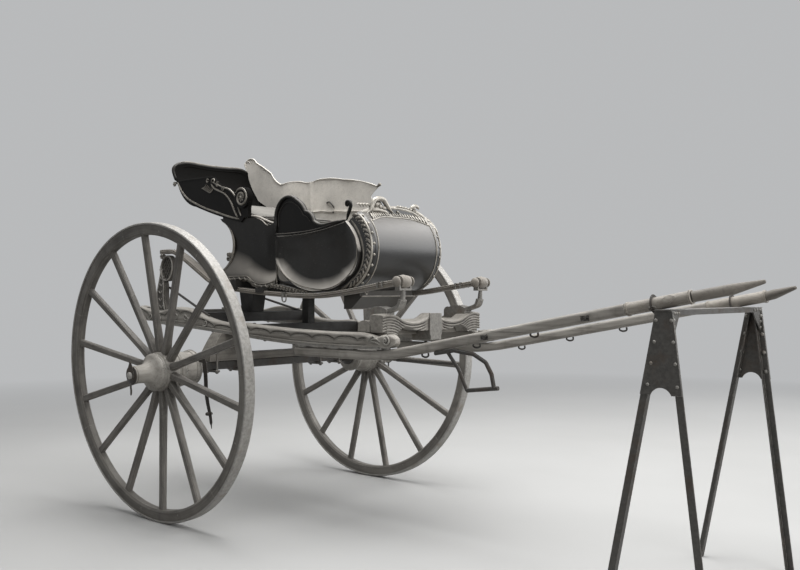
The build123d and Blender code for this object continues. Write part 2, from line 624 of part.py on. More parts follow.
apron = slab(apron_face, apron_y - 8, apron_y) - slab(below_seat, 0, 400)
apron = apron.solids().sort_by(SortBy.VOLUME)[-1]
write("apron", apron)

# Step hung under the right shaft
step_y = -rail_y - 12


def shaft_under(x):
    return shaft_low_z + rise_slope * (x - rise_x0) - shaft_height / 2


hoop = bent_rod([(1470, step_y, shaft_under(1470) - 9.5), (1572, step_y, shaft_under(1572) - 12),
                 (1676, step_y, 893), (1738, step_y, 862), (1767, step_y, 815), (1779, step_y, 758)], 9, 24)
tread = rod((1641, step_y, 740), (1800, step_y, 760), 9)
inner_bar = bent_rod([(1535, step_y, shaft_under(1535) - 9), (1596, step_y, 828), (1641, step_y, 740)], 8, 60)
brace_rod = rod((1250, step_y, shaft_under(1250) - 8), (1590, step_y, 848), 6)
write("step", hoop + tread + inner_bar + brace_rod)

# Trestle: two riveted A-frames of plate and angle, and a top rail
frames = []
plates = []
top_rear = trestle_x - 32
top_front = trestle_x + 32
leg_top = trestle_top - trestle_metal
for side in (-1, 1):
    y0 = side * trestle_frame_y
    for head, foot in ((top_rear, foot_rear_x), (top_front, foot_front_x)):
        lean = 1 if foot > head else -1
        inner = lean * trestle_angle
        corner = lean * (trestle_angle - trestle_metal)
        leg = outline((head, leg_top), ((foot, ground_z),), ((foot - inner, ground_z),),
                      ((head - inner, leg_top),))
        web = outline((head - corner, leg_top), ((foot - corner, ground_z),), ((foot - inner, ground_z),),
                      ((head - inner, leg_top),))
        frames.append(slab(leg, y0, y0 - side * trestle_metal) + slab(web, y0, y0 - side * trestle_web))
    drop = (leg_top - plate_bottom) / (leg_top - ground_z)
    rear_x = top_rear + (foot_rear_x - top_rear) * drop
    front_x = top_front + (foot_front_x - top_front) * drop
    middle_x = (rear_x + front_x) / 2
    plate = outline((top_rear, leg_top), ((top_front, leg_top),), ((front_x, plate_bottom),),
                    ((front_x - 40, plate_bottom),),
                    ((middle_x, plate_bottom + 26), (rear_x + 40, plate_bottom)), ((rear_x, plate_bottom),))
    plates.append(slab(plate, y0 + side * 0.2, y0 + side * (trestle_metal + 0.2)))
write("trestle_legs", *frames)
write("trestle_plates", *plates)
top_rail = block(trestle_x - trestle_rail_half, trestle_x + trestle_rail_half, -trestle_half, trestle_half,
                 leg_top, trestle_top)
flange_front = trestle_x + trestle_rail_half
inside = trestle_frame_y - trestle_metal
top_rail = top_rail + block(flange_front - trestle_metal, flange_front, -inside + 0.3, inside - 0.3,
                            leg_top - rail_flange, leg_top)
for side, reach in ((-1, 60), (1, 103)):
    gusset = make_face(Polyline((side * inside, leg_top), (side * (inside - reach), leg_top),
                                (side * (inside - 6), leg_top - 93), (side * inside, leg_top - 93),
                                close=True))
    top_rail = top_rail + Pos(flange_front - trestle_metal, 0, 0) * extrude(Plane.YZ * gusset, trestle_metal)
write("trestle_rail", top_rail)

# Put X = 0 at the middle of the whole length and write each node
lows = [solid.bounding_box().min.X for _, solids in nodes for solid in solids]
highs = [solid.bounding_box().max.X for _, solids in nodes for solid in solids]
mid_x = (min(lows) + max(highs)) / 2
print("middle", round(mid_x, 3), "length", round(max(highs) - min(lows), 1))
for name, solids in nodes:
    body = solids[0] if len(solids) == 1 else Compound(children=solids)
    export_step(Pos(-mid_x, 0, -ground_z) * body, "parts/" + name + ".step")
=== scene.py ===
"""Looks for a two-wheeled horse-drawn chaise on an iron trestle. Metres, in the row frame."""
import json
import math
import random

import bmesh
import bpy
from mathutils import Matrix, Vector


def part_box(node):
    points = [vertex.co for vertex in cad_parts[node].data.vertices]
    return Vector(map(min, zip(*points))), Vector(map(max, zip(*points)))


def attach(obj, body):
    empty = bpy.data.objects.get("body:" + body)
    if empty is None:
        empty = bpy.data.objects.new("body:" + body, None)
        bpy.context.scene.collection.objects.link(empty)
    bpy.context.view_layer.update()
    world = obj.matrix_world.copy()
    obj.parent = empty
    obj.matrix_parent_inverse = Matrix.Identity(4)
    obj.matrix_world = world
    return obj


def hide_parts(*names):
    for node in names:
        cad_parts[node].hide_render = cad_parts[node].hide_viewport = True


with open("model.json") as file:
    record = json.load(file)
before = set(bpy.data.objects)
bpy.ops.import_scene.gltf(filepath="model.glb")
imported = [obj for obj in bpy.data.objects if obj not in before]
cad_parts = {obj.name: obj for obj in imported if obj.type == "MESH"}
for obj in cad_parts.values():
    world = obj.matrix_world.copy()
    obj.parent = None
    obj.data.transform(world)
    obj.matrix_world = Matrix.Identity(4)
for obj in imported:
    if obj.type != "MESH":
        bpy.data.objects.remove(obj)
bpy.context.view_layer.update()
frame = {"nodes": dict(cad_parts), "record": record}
nodes = frame["nodes"]
scene = bpy.context.scene
random.seed(7)

# Real sizes from the CAD source, in metres from the axle's middle
tyre_low, tyre_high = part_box("right_tyre")
axle_x = (tyre_low[0] + tyre_high[0]) / 2
camber = math.radians(3)
axle_z = 0.7504374
track_half = 0.815
spoke_count = 14
nail_ring_r = 0.7120
rail_y = 0.380
rail_half = 0.031
drum_centre = (0.772, 1.362)
drum_r = 0.212
drum_half = 0.266
disc_face_y = 0.2845
disc_centre = (0.60, 1.33)
volute = (0.048, 1.664)
roller = (1.207, 1.200)
brace_y = 0.298
standard = (-0.725, 1.300)
standard_y = 0.250
trestle_x = 2.535
trestle_y = 0.428


def at(x, y, z):
    """A point in the row frame, given from the axle's middle."""
    return Vector((x + axle_x, y, z))


# Camera at the photograph's viewing angle
def make_camera():
    data = bpy.data.cameras.new("camera")
    data.lens = 41.4
    data.sensor_width = 36.0
    data.clip_start = 0.05
    data.clip_end = 200.0
    cam = bpy.data.objects.new("camera", data)
    scene.collection.objects.link(cam)
    cam.location = at(3.966, -3.477, 1.1495)
    cam.rotation_euler = (math.pi / 2 + math.radians(0.480), 0.0, math.radians(41.162))
    scene.camera = cam


make_camera()


# Lines and outlines
def arc(a, b, c, step):
    """Points after a on the circle through a, b and c, as far as c."""
    ax, az = a
    bx, bz = b
    cx, cz = c
    d = 2 * (ax * (bz - cz) + bx * (cz - az) + cx * (az - bz))
    if abs(d) < 1e-9:
        return [b, c]
    ux = ((ax**2 + az**2) * (bz - cz) + (bx**2 + bz**2) * (cz - az) + (cx**2 + cz**2) * (az - bz)) / d
    uz = ((ax**2 + az**2) * (cx - bx) + (bx**2 + bz**2) * (ax - cx) + (cx**2 + cz**2) * (bx - ax)) / d
    r = math.hypot(ax - ux, az - uz)
    start = math.atan2(az - uz, ax - ux)
    mid = (math.atan2(bz - uz, bx - ux) - start) % math.tau
    sweep = (math.atan2(cz - uz, cx - ux) - start) % math.tau
    if mid > sweep:
        sweep -= math.tau
    count = max(2, math.ceil(abs(sweep) * r / step))
    return [(ux + r * math.cos(start + sweep * i / count), uz + r * math.sin(start + sweep * i / count))
            for i in range(1, count + 1)]


def outline(start, *legs, step=0.012):
    """Points along lines, given as one corner, and arcs, given as a middle and an end."""
    points = [start]
    for leg in legs:
        here = points[-1]
        if len(leg) == 2:
            points.extend(arc(here, leg[0], leg[1], step))
            continue
        end = leg[0]
        count = max(1, math.ceil(math.dist(here, end) / step))
        for i in range(1, count + 1):
            points.append((here[0] + (end[0] - here[0]) * i / count,
                           here[1] + (end[1] - here[1]) * i / count))
    if math.dist(points[0], points[-1]) < 1e-6:
        points.pop()
    return points


def smooth(points, per=6):
    """A smooth line through the points, with per steps between neighbours."""
    pts = [Vector(p) for p in points]
    out = []
    for i in range(len(pts) - 1):
        p0 = pts[max(i - 1, 0)]
        p1 = pts[i]
        p2 = pts[i + 1]
        p3 = pts[min(i + 2, len(pts) - 1)]
        for k in range(per):
            t = k / per
            out.append(0.5 * (2 * p1 + (p2 - p0) * t + (2 * p0 - 5 * p1 + 4 * p2 - p3) * t**2
                              + (3 * p1 - p0 - 3 * p2 + p3) * t**3))
    out.append(pts[-1])
    return out


def even(points, spacing):
    """The same line again as points at an even spacing."""
    pts = [Vector(p) for p in points]
    total = sum((b - a).length for a, b in zip(pts, pts[1:]))
    count = max(1, round(total / spacing))
    out = []
    i = 0
    passed = 0.0
    for k in range(count + 1):
        want = total * k / count
        while i < len(pts) - 2 and passed + (pts[i + 1] - pts[i]).length < want:
            passed += (pts[i + 1] - pts[i]).length
            i += 1
        span = (pts[i + 1] - pts[i]).length or 1e-9
        out.append(pts[i].lerp(pts[i + 1], min(1.0, (want - passed) / span)))
    return out


def height_at(points, x):
    """Height of a line of (x, z) points at x."""
    for (x0, z0), (x1, z1) in zip(points, points[1:]):
        if x0 <= x <= x1:
            return z0 + (z1 - z0) * (x - x0) / max(x1 - x0, 1e-9)
    return points[0][1] if x < points[0][0] else points[-1][1]


def side_line(points, y):
    """Points of a side view, given as (x, z), at one y."""
    return [at(p[0], y, p[1]) for p in points]


def front_line(points, x):
    """Points of a front view, given as (y, z), at one x."""
    return [at(x, p[0], p[1]) for p in points]


def edge_distance(p, ring):
    """Distance from p to the nearest edge of a closed ring of points."""
    best = 1e9
    for a, b in zip(ring, ring[1:] + ring[:1]):
        ex = b[0] - a[0]
        ez = b[1] - a[1]
        t = ((p[0] - a[0]) * ex + (p[1] - a[1]) * ez) / max(ex * ex + ez * ez, 1e-12)
        t = min(1.0, max(0.0, t))
        best = min(best, math.hypot(p[0] - a[0] - ex * t, p[1] - a[1] - ez * t))
    return best


# Sections for sweeps, as (across, up) pairs about the path
def round_section(sides=8, flat=1.0):
    return [(math.cos(math.tau * i / sides), flat * math.sin(math.tau * i / sides)) for i in range(sides)]


def signed_power(value, power):
    return math.copysign(abs(value)**power, value)


def strap_section(width, thick, round_off=0.25):
    """A flat strap with softly rounded edges."""
    w = width / 2
    t = thick / 2
    r = t * 2 * round_off
    return [(-w + r, -t), (w - r, -t), (w, -t + r), (w, t - r), (w - r, t), (-w + r, t), (-w, t - r),
            (-w, -t + r)]


class Form:
    """Points and faces of a piece while it is built."""

    def __init__(self):
        self.points = []
        self.faces = []

    def grid(self, rows, closed=False, caps=False):
        """Skins equal rows of points. closed joins each row's ends, and caps fills the first and last row."""
        first = len(self.points)
        width = len(rows[0])
        for row in rows:
            self.points.extend(row)
        for i in range(len(rows) - 1):
            for j in range(width if closed else width - 1):
                a = first + i * width + j
                b = first + i * width + (j + 1) % width
                self.faces.append((a, b, b + width, a + width))
        if caps:
            last = first + (len(rows) - 1) * width
            self.faces.append(tuple(reversed(range(first, first + width))))
            self.faces.append(tuple(range(last, last + width)))

    def sweep(self, path, section, sizes=1.0, up=(0, 0, 1)):
        """Carries a section along a path. sizes scales it, as one number or one for each point."""
        up = Vector(up)
        rows = []
        for i, p in enumerate(path):
            ahead = path[min(i + 1, len(path) - 1)] - path[max(i - 1, 0)]
            side = ahead.cross(up)
            if side.length < 1e-9:
                side = Vector((0, 1, 0))
            side.normalize()
            lift = side.cross(ahead).normalized()
            size = sizes[i] if hasattr(sizes, "__len__") else sizes
            rows.append([p + side * (u * size) + lift * (v * size) for u, v in section])
        self.grid(rows, closed=True, caps=True)

    def bead(self, path, r, up=(0, 0, 1), sides=8, taper=0.0, flat=1.0):
        """A round bead, thinner over the given share of its length at each end."""
        sizes = []
        for i in range(len(path)):
            t = i / (len(path) - 1)
            end = min(t, 1 - t)
            sizes.append(r * (1.0 if end >= taper else 0.25 + 0.75 * math.sin(math.pi / 2 * end / taper)))
        self.sweep(path, round_section(sides, flat), sizes, up)

    def side_bead(self, line, y, r, sides=8, taper=0.0, flat=1.0):
        """A bead along a line of the side view, at one distance from the middle."""
        self.bead(side_line(line, y), r, (0, 1, 0), sides, taper, flat)

    def stitch_row(self, path, lift, r):
        """Short stitches from every second point to the next, raised in the middle by the lift."""
        for a, b in zip(path[::2], path[1::2]):
            self.bead([a, a.lerp(b, 0.5) + lift, b], r, (0, 1, 0), 5, 0.3)

    def lathe(self, profile, place, sides=40):
        """Turns (radius, height) pairs about the Z axis of place. The ends are closed by caps."""
        rows = []
        for r, h in profile:
            rows.append([place @ Vector((r * math.cos(math.tau * j / sides),
                                         r * math.sin(math.tau * j / sides), h))
                         for j in range(sides)])
        self.grid(rows, closed=True, caps=True)

    def ring(self, profile, place, sides=96):
        """Turns a closed profile into a ring, such as a band."""
        rows = []
        for j in range(sides):
            c = math.cos(math.tau * j / sides)
            s = math.sin(math.tau * j / sides)
            rows.append([place @ Vector((r * c, r * s, h)) for r, h in profile])
        rows.append(rows[0])
        first = len(self.points)
        width = len(profile)
        for row in rows[:-1]:
            self.points.extend(row)
        for i in range(sides):
            for j in range(width):
                a = first + i * width + j
                b = first + i * width + (j + 1) % width
                c2 = first + ((i + 1) % sides) * width + (j + 1) % width
                d2 = first + ((i + 1) % sides) * width + j
                self.faces.append((a, b, c2, d2))

    def dome(self, centre, r, axis, tall=0.6, sides=10):
        """A rivet or stud head standing on a surface along axis."""
        turn = Vector(axis).to_track_quat("Z", "Y").to_matrix().to_4x4()
        place = Matrix.Translation(centre) @ turn
        profile = [(r, -0.3 * r * tall), (r, 0.15 * r * tall), (r * 0.85, 0.6 * r * tall),
                   (r * 0.5, 0.92 * r * tall), (r * 0.12, r * tall)]
        self.lathe(profile, place, sides)

    def relief(self, ring, centre, height, base, place):
        """A panel with a thickness: a ring outline, and a height for each distance from its edge."""
        steps = (1.0, 0.985, 0.965, 0.945, 0.92, 0.89, 0.85, 0.8, 0.72, 0.6, 0.45, 0.25, 0.1)
        rows = [[place(p[0], p[1], base) for p in ring]]
        for s in steps:
            row = []
            for p in ring:
                q = (centre[0] + (p[0] - centre[0]) * s, centre[1] + (p[1] - centre[1]) * s)
                row.append(place(q[0], q[1], height(edge_distance(q, ring), q)))
            rows.append(row)
        self.grid(rows, closed=True, caps=True)

    def box(self, low, high, bevel=0.0015):
        """A box with its edges cut off."""
        x0, y0, z0 = low
        x1, y1, z1 = high
        b = bevel
        plan = [(x0 + b, y0), (x1 - b, y0), (x1, y0 + b), (x1, y1 - b), (x1 - b, y1), (x0 + b, y1),
                (x0, y1 - b), (x0, y0 + b)]
        mx = (x0 + x1) / 2
        my = (y0 + y1) / 2
        rows = []
        for z, cut in ((z0, b), (z0 + b, 0), (z1 - b, 0), (z1, b)):
            row = []
            for x, y in plan:
                row.append(at(x - math.copysign(cut, x - mx), y - math.copysign(cut, y - my), z))
            rows.append(row)
        self.grid(rows, closed=True, caps=True)

    def mirrored(self):
        """Adds a copy of all so far on the other side of the object."""
        count = len(self.points)
        self.points.extend([Vector((p[0], -p[1], p[2])) for p in self.points])
        self.faces.extend([tuple(count + i for i in reversed(f)) for f in self.faces])

    def piece(self, name, body, slot, mat, crease=38, joined=False):
        """Turns the form into a piece that rides on a body; joined closes skins that meet edge to edge."""
        mesh = bpy.data.meshes.new(name)
        mesh.from_pydata([tuple(p) for p in self.points], [], self.faces)
        bm = bmesh.new()
        bm.from_mesh(mesh)
        if joined:
            bmesh.ops.remove_doubles(bm, verts=bm.verts, dist=0.00002)
        bmesh.ops.recalc_face_normals(bm, faces=bm.faces)
        bm.to_mesh(mesh)
        bm.free()
        mesh.shade_smooth()
        mesh.set_sharp_from_angle(angle=math.radians(crease))
        obj = bpy.data.objects.new(name, mesh)
        scene.collection.objects.link(obj)
        mesh.materials.append(mat)
        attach(obj, body)
        return obj


# Materials
class Paint:
    """A procedural material while it is built."""

    def __init__(self, name):
        self.mat = bpy.data.materials.new(name)
        self.mat.use_nodes = True
        self.tree = self.mat.node_tree
        self.shader = self.tree.nodes["Principled BSDF"]
        self.coords = self.add("ShaderNodeTexCoord").outputs["Object"]

    def feed(self, socket, value):
        if isinstance(value, bpy.types.NodeSocket):
            self.tree.links.new(value, socket)
        else:
            socket.default_value = value

    def add(self, kind, inputs=None, **settings):
        node = self.tree.nodes.new(kind)
        for key, value in settings.items():
            setattr(node, key, value)
        for key, value in (inputs or {}).items():
            self.feed(node.inputs[key], value)
        return node

    def math(self, operation, a, b=0.5):
        return self.add("ShaderNodeMath", {0: a, 1: b}, operation=operation).outputs[0]

    def stretched(self, scale, source=None):
        node = self.add("ShaderNodeMapping", {"Vector": source or self.coords, "Scale": scale})
        return node.outputs[0]

    def noise(self, scale, detail=4.0, rough=0.55, source=None, distortion=0.0):
        node = self.add("ShaderNodeTexNoise",
                        {"Vector": source or self.coords, "Scale": scale, "Detail": detail,
                                               "Roughness": rough, "Distortion": distortion})
        return node.outputs["Fac"]

    def cells(self, scale, source=None, feature="DISTANCE_TO_EDGE"):
        node = self.add("ShaderNodeTexVoronoi", {"Vector": source or self.coords, "Scale": scale},
                        feature=feature)
        return node.outputs["Distance"]

    def ramp(self, factor, low, high, low_value=0.0, high_value=1.0):
        node = self.add("ShaderNodeMapRange", {"Value": factor, "From Min": low, "From Max": high,
                                               "To Min": low_value, "To Max": high_value})
        return node.outputs[0]

    def mix(self, factor, a, b):
        node = self.add("ShaderNodeMix", data_type="RGBA")
        self.feed(node.inputs[0], factor)
        self.feed(node.inputs[6], a if isinstance(a, bpy.types.NodeSocket) else (*a, 1.0))
        self.feed(node.inputs[7], b if isinstance(b, bpy.types.NodeSocket) else (*b, 1.0))
        return node.outputs[2]

    def edges(self, radius=0.003):
        """A rounded normal, and how near a hard edge a point is."""
        round_normal = self.add("ShaderNodeBevel", {"Radius": radius}, samples=4).outputs[0]
        flat_normal = self.add("ShaderNodeNewGeometry").outputs["Normal"]
        dot = self.add("ShaderNodeVectorMath", {0: round_normal, 1: flat_normal}, operation="DOT_PRODUCT")
        return round_normal, self.ramp(dot.outputs["Value"], 0.995, 0.86)

    def bump(self, height, strength, distance, normal=None):
        inputs = {"Height": height, "Strength": strength, "Distance": distance}
        if normal is not None:
            inputs["Normal"] = normal
        return self.add("ShaderNodeBump", inputs).outputs[0]

    def done(self, colour, rough, normal, **constants):
        self.feed(self.shader.inputs["Base Color"], colour)
        self.feed(self.shader.inputs["Roughness"], rough)
        self.feed(self.shader.inputs["Normal"], normal)
        for key, value in constants.items():
            self.shader.inputs[key.replace("_", " ").title().replace("Ior", "IOR")].default_value = value
        return self.mat

    def wheel_coords(self, side, along):
        """Coordinates about a wheel's axle, so that grain runs out along spokes or round the rim."""
        local = self.add("ShaderNodeMapping",
                         {"Vector": self.coords, "Location": at(0, side * track_half, axle_z),
                                               "Rotation": (-side * camber, 0.0, 0.0)}, vector_type="TEXTURE")
        parts = self.add("ShaderNodeSeparateXYZ", {0: local.outputs[0]})
        angle = self.math("ARCTAN2", parts.outputs["Z"], parts.outputs["X"])
        flat = self.add("ShaderNodeCombineXYZ", {"X": parts.outputs["X"], "Y": parts.outputs["Z"]})
        out = self.add("ShaderNodeVectorMath", {0: flat.outputs[0]}, operation="LENGTH").outputs["Value"]
        turn = self.math("MULTIPLY", angle, 0.5)
        if along == "round":
            pair = {"X": turn, "Y": out, "Z": parts.outputs["Y"]}
        elif along == "out":
            pair = {"X": out, "Y": turn, "Z": parts.outputs["Y"]}
        else:
            pair = {"X": turn, "Y": parts.outputs["Y"], "Z": out}
        return self.add("ShaderNodeCombineXYZ", pair).outputs[0]


def wood(name, pale, dark, grain=(1.6, 60.0, 60.0), wheel=None, worn=0.35, rough=0.6, hollow=0.0,
         bare=None):
    """Old oiled or painted wood with grain, fine checks, dirt and edges worn pale; with hollow, its recesses
    get painted shade.
    """
    p = Paint(name)
    base = p.wheel_coords(*wheel) if wheel else p.coords
    lines = p.noise(1.0, 7.0, 0.62, p.stretched(grain, base), 0.3)
    broad = p.noise(5.0, 3.0, 0.5)
    checks = p.noise(1.0, 3.0, 0.5, p.stretched(tuple(g * 2.2 for g in grain), base), 0.6)
    crack = p.ramp(checks, 0.66, 0.72)
    tone = p.ramp(p.math("ADD", lines, p.math("MULTIPLY", broad, 0.7)), 0.62, 1.08)
    colour = p.mix(tone, dark, pale)
    grime = p.ramp(p.noise(11.0, 6.0, 0.65), 0.52, 0.74, 0.0, 0.55)
    colour = p.mix(grime, colour, tuple(c * 0.45 for c in dark))
    colour = p.mix(p.math("MULTIPLY", crack, 0.6), colour, tuple(c * 0.3 for c in dark))
    normal, edge = p.edges(0.0028)
    rub = p.math("MULTIPLY", edge, p.ramp(p.noise(38.0, 4.0, 0.6), 0.38, 0.58, 0.25, worn * 2))
    colour = p.mix(rub, colour, bare or tuple(min(0.75, c * 1.9 + 0.03) for c in pale))
    # Painted shade: recesses found by ambient occlusion turn nearly black.
    if hollow:
        occlusion_for_painted_shade = p.add("ShaderNodeAmbientOcclusion", {"Distance": hollow}, samples=6).outputs["AO"]
        colour = p.mix(p.ramp(occlusion_for_painted_shade, 0.35, 0.92, 0.92, 0.0), colour, tuple(c * 0.14 for c in dark))
    height = p.math("SUBTRACT", lines, p.math("MULTIPLY", crack, 0.8))
    normal = p.bump(height, 0.35, 0.0016, normal)
    gloss = p.ramp(p.noise(17.0, 4.0, 0.6), 0.3, 0.7, rough - 0.12, rough + 0.14)
    return p.done(colour, gloss, normal, specular_ior_level=0.4)


def iron(name, base, rust, bright, rust_share=0.5, rough=0.5, metal=0.55):
    """Wrought iron with rust in patches, fine pitting and rubbed edges."""
    p = Paint(name)
    patch = p.ramp(p.noise(9.0, 7.0, 0.7), 0.62 - 0.25 * rust_share, 0.80 - 0.25 * rust_share)
    fine = p.noise(70.0, 5.0, 0.65)
    colour = p.mix(p.ramp(fine, 0.35, 0.7), tuple(c * 0.75 for c in base), tuple(c * 1.25 for c in base))
    colour = p.mix(p.math("MULTIPLY", patch, p.ramp(fine, 0.3, 0.6, 0.35, 1.0)), colour, rust)
    normal, edge = p.edges(0.0022)
    rub = p.math("MULTIPLY", edge, p.ramp(p.noise(55.0, 4.0), 0.36, 0.6))
    colour = p.mix(rub, colour, bright)
    pits = p.cells(230.0, p.stretched((1.0, 1.0, 1.0)))
    height = p.math("ADD", p.math("MULTIPLY", p.ramp(pits, 0.0, 0.25), 0.4), p.noise(120.0, 4.0))
    normal = p.bump(height, 0.28, 0.0008, normal)
    gloss = p.ramp(p.math("ADD", patch, fine), 0.3, 1.5, rough - 0.08, rough + 0.28)
    return p.done(colour, gloss, normal, metallic=metal)


def lacquer(name, base, dust_and_toplight_colour, coat=0.5, coat_ior=1.4, coat_rough=0.12, worn=0.4, craze=0.12, dust_and_toplight_share=0.5,
            tilt=(0.08, 0.85), dull_inside=False):
    """Black carriage lacquer: deep gloss, fine crazing, faint dust, dust with painted top light on
    upward-facing faces, and rubbed edges.
    """
    p = Paint(name)
    cloud = p.noise(4.0, 5.0, 0.6)
    colour = p.mix(p.ramp(cloud, 0.35, 0.7), tuple(c * 0.7 for c in base), tuple(c * 1.3 for c in base))
    specks = p.ramp(p.noise(160.0, 3.0, 0.7), 0.66, 0.76, 0.0, 0.35)
    colour = p.mix(specks, colour, dust_and_toplight_colour)
    # Upward-facing faces are mixed towards the pale colour: settled dust and painted top light together.
    parts = p.add("ShaderNodeSeparateXYZ", {0: p.add("ShaderNodeNewGeometry").outputs["Normal"]})
    facing = parts.outputs["Z"]
    dust_and_toplight = p.math("MULTIPLY", p.ramp(facing, tilt[0], tilt[1], 0.0, dust_and_toplight_share),
                     p.ramp(cloud, 0.25, 0.6, 0.7, 1.0))
    if dull_inside:
        inside = p.ramp(p.math("ADD", parts.outputs["X"], facing), 0.30, 0.60)
        dust_and_toplight = p.math("MULTIPLY", dust_and_toplight, p.math("SUBTRACT", 1.0, inside))
    colour = p.mix(dust_and_toplight, colour, dust_and_toplight_colour)
    normal, edge = p.edges(0.0020)
    rub = p.math("MULTIPLY", edge, p.ramp(p.noise(42.0, 5.0, 0.6), 0.42, 0.62, 0.0, worn))
    colour = p.mix(rub, colour, (0.20, 0.17, 0.13))
    lines = p.cells(75.0, p.stretched((1.0, 1.3, 0.8)))
    ripple = p.noise(7.0, 2.0, 0.5)
    height = p.math("ADD", p.math("MULTIPLY", p.ramp(lines, 0.0, 0.03), 0.10),
                    p.math("MULTIPLY", ripple, 2.5))
    normal = p.bump(height, craze, 0.0016, normal)
    gloss = p.ramp(cloud, 0.3, 0.7, 0.30, 0.48)
    p.feed(p.shader.inputs["Coat Normal"], normal)
    if dull_inside:
        colour = p.mix(inside, colour, (0.004, 0.0037, 0.0033))
        p.shader.inputs["Specular IOR Level"].default_value = 0.06
        p.feed(p.shader.inputs["Coat Weight"], p.ramp(inside, 0.0, 1.0, coat, 0.0))
        return p.done(colour, p.ramp(inside, 0.0, 1.0, 0.4, 0.9), normal, coat_roughness=coat_rough,
                      coat_ior=coat_ior)
    return p.done(colour, gloss, normal, coat_weight=coat, coat_roughness=coat_rough, coat_ior=coat_ior,
                  specular_ior_level=0.12)


def gilt(name, pale, dark):
    """Old gilt or painted carving, dark in its hollows."""
    p = Paint(name)
    tone = p.noise(30.0, 6.0, 0.65)
    hollow = p.add("ShaderNodeAmbientOcclusion", {"Distance": 0.012}, samples=6).outputs["AO"]
    colour = p.mix(p.ramp(tone, 0.3, 0.7), dark, pale)
    colour = p.mix(p.ramp(hollow, 0.35, 0.95, 0.85, 0.0), colour, tuple(c * 0.25 for c in dark))
    normal = p.bump(p.noise(110.0, 4.0, 0.6), 0.25, 0.0008)
    return p.done(colour, p.ramp(tone, 0.3, 0.7, 0.30, 0.5), normal, metallic=0.35, coat_weight=0.3,
                  coat_roughness=0.2)


def leather(name, base, crease, pore=420.0, rough=0.55, stretch=(1.0, 1.0, 1.0), stain=0.4, sheen=0.1):
    """Leather with pores, creases, stains and rubbed edges."""
    p = Paint(name)
    cloud = p.noise(6.0, 5.0, 0.6, p.stretched(stretch))
    colour = p.mix(p.ramp(cloud, 0.3, 0.72), tuple(c * 0.78 for c in base),
                   tuple(min(0.85, c * 1.12) for c in base))
    blot = p.ramp(p.noise(15.0, 7.0, 0.7, p.stretched(stretch)), 0.55, 0.78, 0.0, stain)
    colour = p.mix(blot, colour, crease)
    pores = p.cells(pore)
    folds = p.noise(1.0, 6.0, 0.62, p.stretched(tuple(22.0 * s for s in stretch)), 1.2)
    lines = p.ramp(p.math("ABSOLUTE", p.math("SUBTRACT", folds, 0.5)), 0.0, 0.025)
    colour = p.mix(p.ramp(lines, 0.0, 1.0, 0.30, 0.0), colour, crease)
    normal, edge = p.edges(0.0015)
    colour = p.mix(p.math("MULTIPLY", edge, 0.35), colour, tuple(min(0.8, c * 1.6 + 0.02) for c in base))
    height = p.math("ADD", p.math("MULTIPLY", p.ramp(pores, 0.0, 0.3), 0.35), p.math("MULTIPLY", lines, 0.5))
    normal = p.bump(height, 0.35, 0.0010, normal)
    gloss = p.ramp(cloud, 0.3, 0.7, rough - 0.08, rough + 0.12)
    return p.done(colour, gloss, normal, sheen_weight=sheen, sheen_roughness=0.5, specular_ior_level=0.3)


spoke_wood = {}
felloe_wood = {}
nave_wood = {}
for side, label in ((-1, "right"), (1, "left")):
    spoke_wood[side] = wood(label + "_spoke_wood", (0.215, 0.20, 0.18), (0.094, 0.087, 0.077),
                            (2.0, 55.0, 60.0), (side, "out"), worn=0.5)
    felloe_wood[side] = wood(label + "_felloe_wood", (0.21, 0.196, 0.175), (0.092, 0.085, 0.075),
                             (4.0, 70.0, 60.0), (side, "round"), worn=0.55)
    nave_wood[side] = wood(label + "_nave_wood", (0.42, 0.396, 0.358), (0.19, 0.176, 0.156),
                           (5.0, 8.0, 60.0), (side, "axle"), worn=0.3)
# The rail, crossbar and post woods darken their recesses by ambient occlusion: painted shade.
rail_wood = wood("rail_wood", (0.41, 0.386, 0.347), (0.18, 0.166, 0.145), (2.0, 60.0, 60.0), worn=0.5,
                 hollow=0.012)
shaft_paint = wood("shaft_wood", (0.40, 0.376, 0.34), (0.20, 0.185, 0.163), (1.2, 60.0, 70.0), worn=0.4)
cross_wood = wood("cross_wood", (0.33, 0.31, 0.277), (0.155, 0.143, 0.126), (50.0, 2.0, 60.0), worn=0.35,
                  hollow=0.010)
tree_wood = wood("axle_tree_wood", (0.085, 0.078, 0.068), (0.030, 0.027, 0.023), (50.0, 2.0, 60.0), worn=0.4)
post_wood = wood("post_wood", (0.15, 0.138, 0.12), (0.05, 0.045, 0.038), (50.0, 50.0, 3.0), worn=0.55,
                 hollow=0.012)
drape_wood = wood("drape_wood", (0.48, 0.45, 0.40), (0.14, 0.128, 0.11), (50.0, 50.0, 3.0), worn=0.4)
bolster_wood = wood("bolster_wood", (0.21, 0.195, 0.17), (0.085, 0.077, 0.066), (50.0, 2.0, 60.0), worn=0.5)
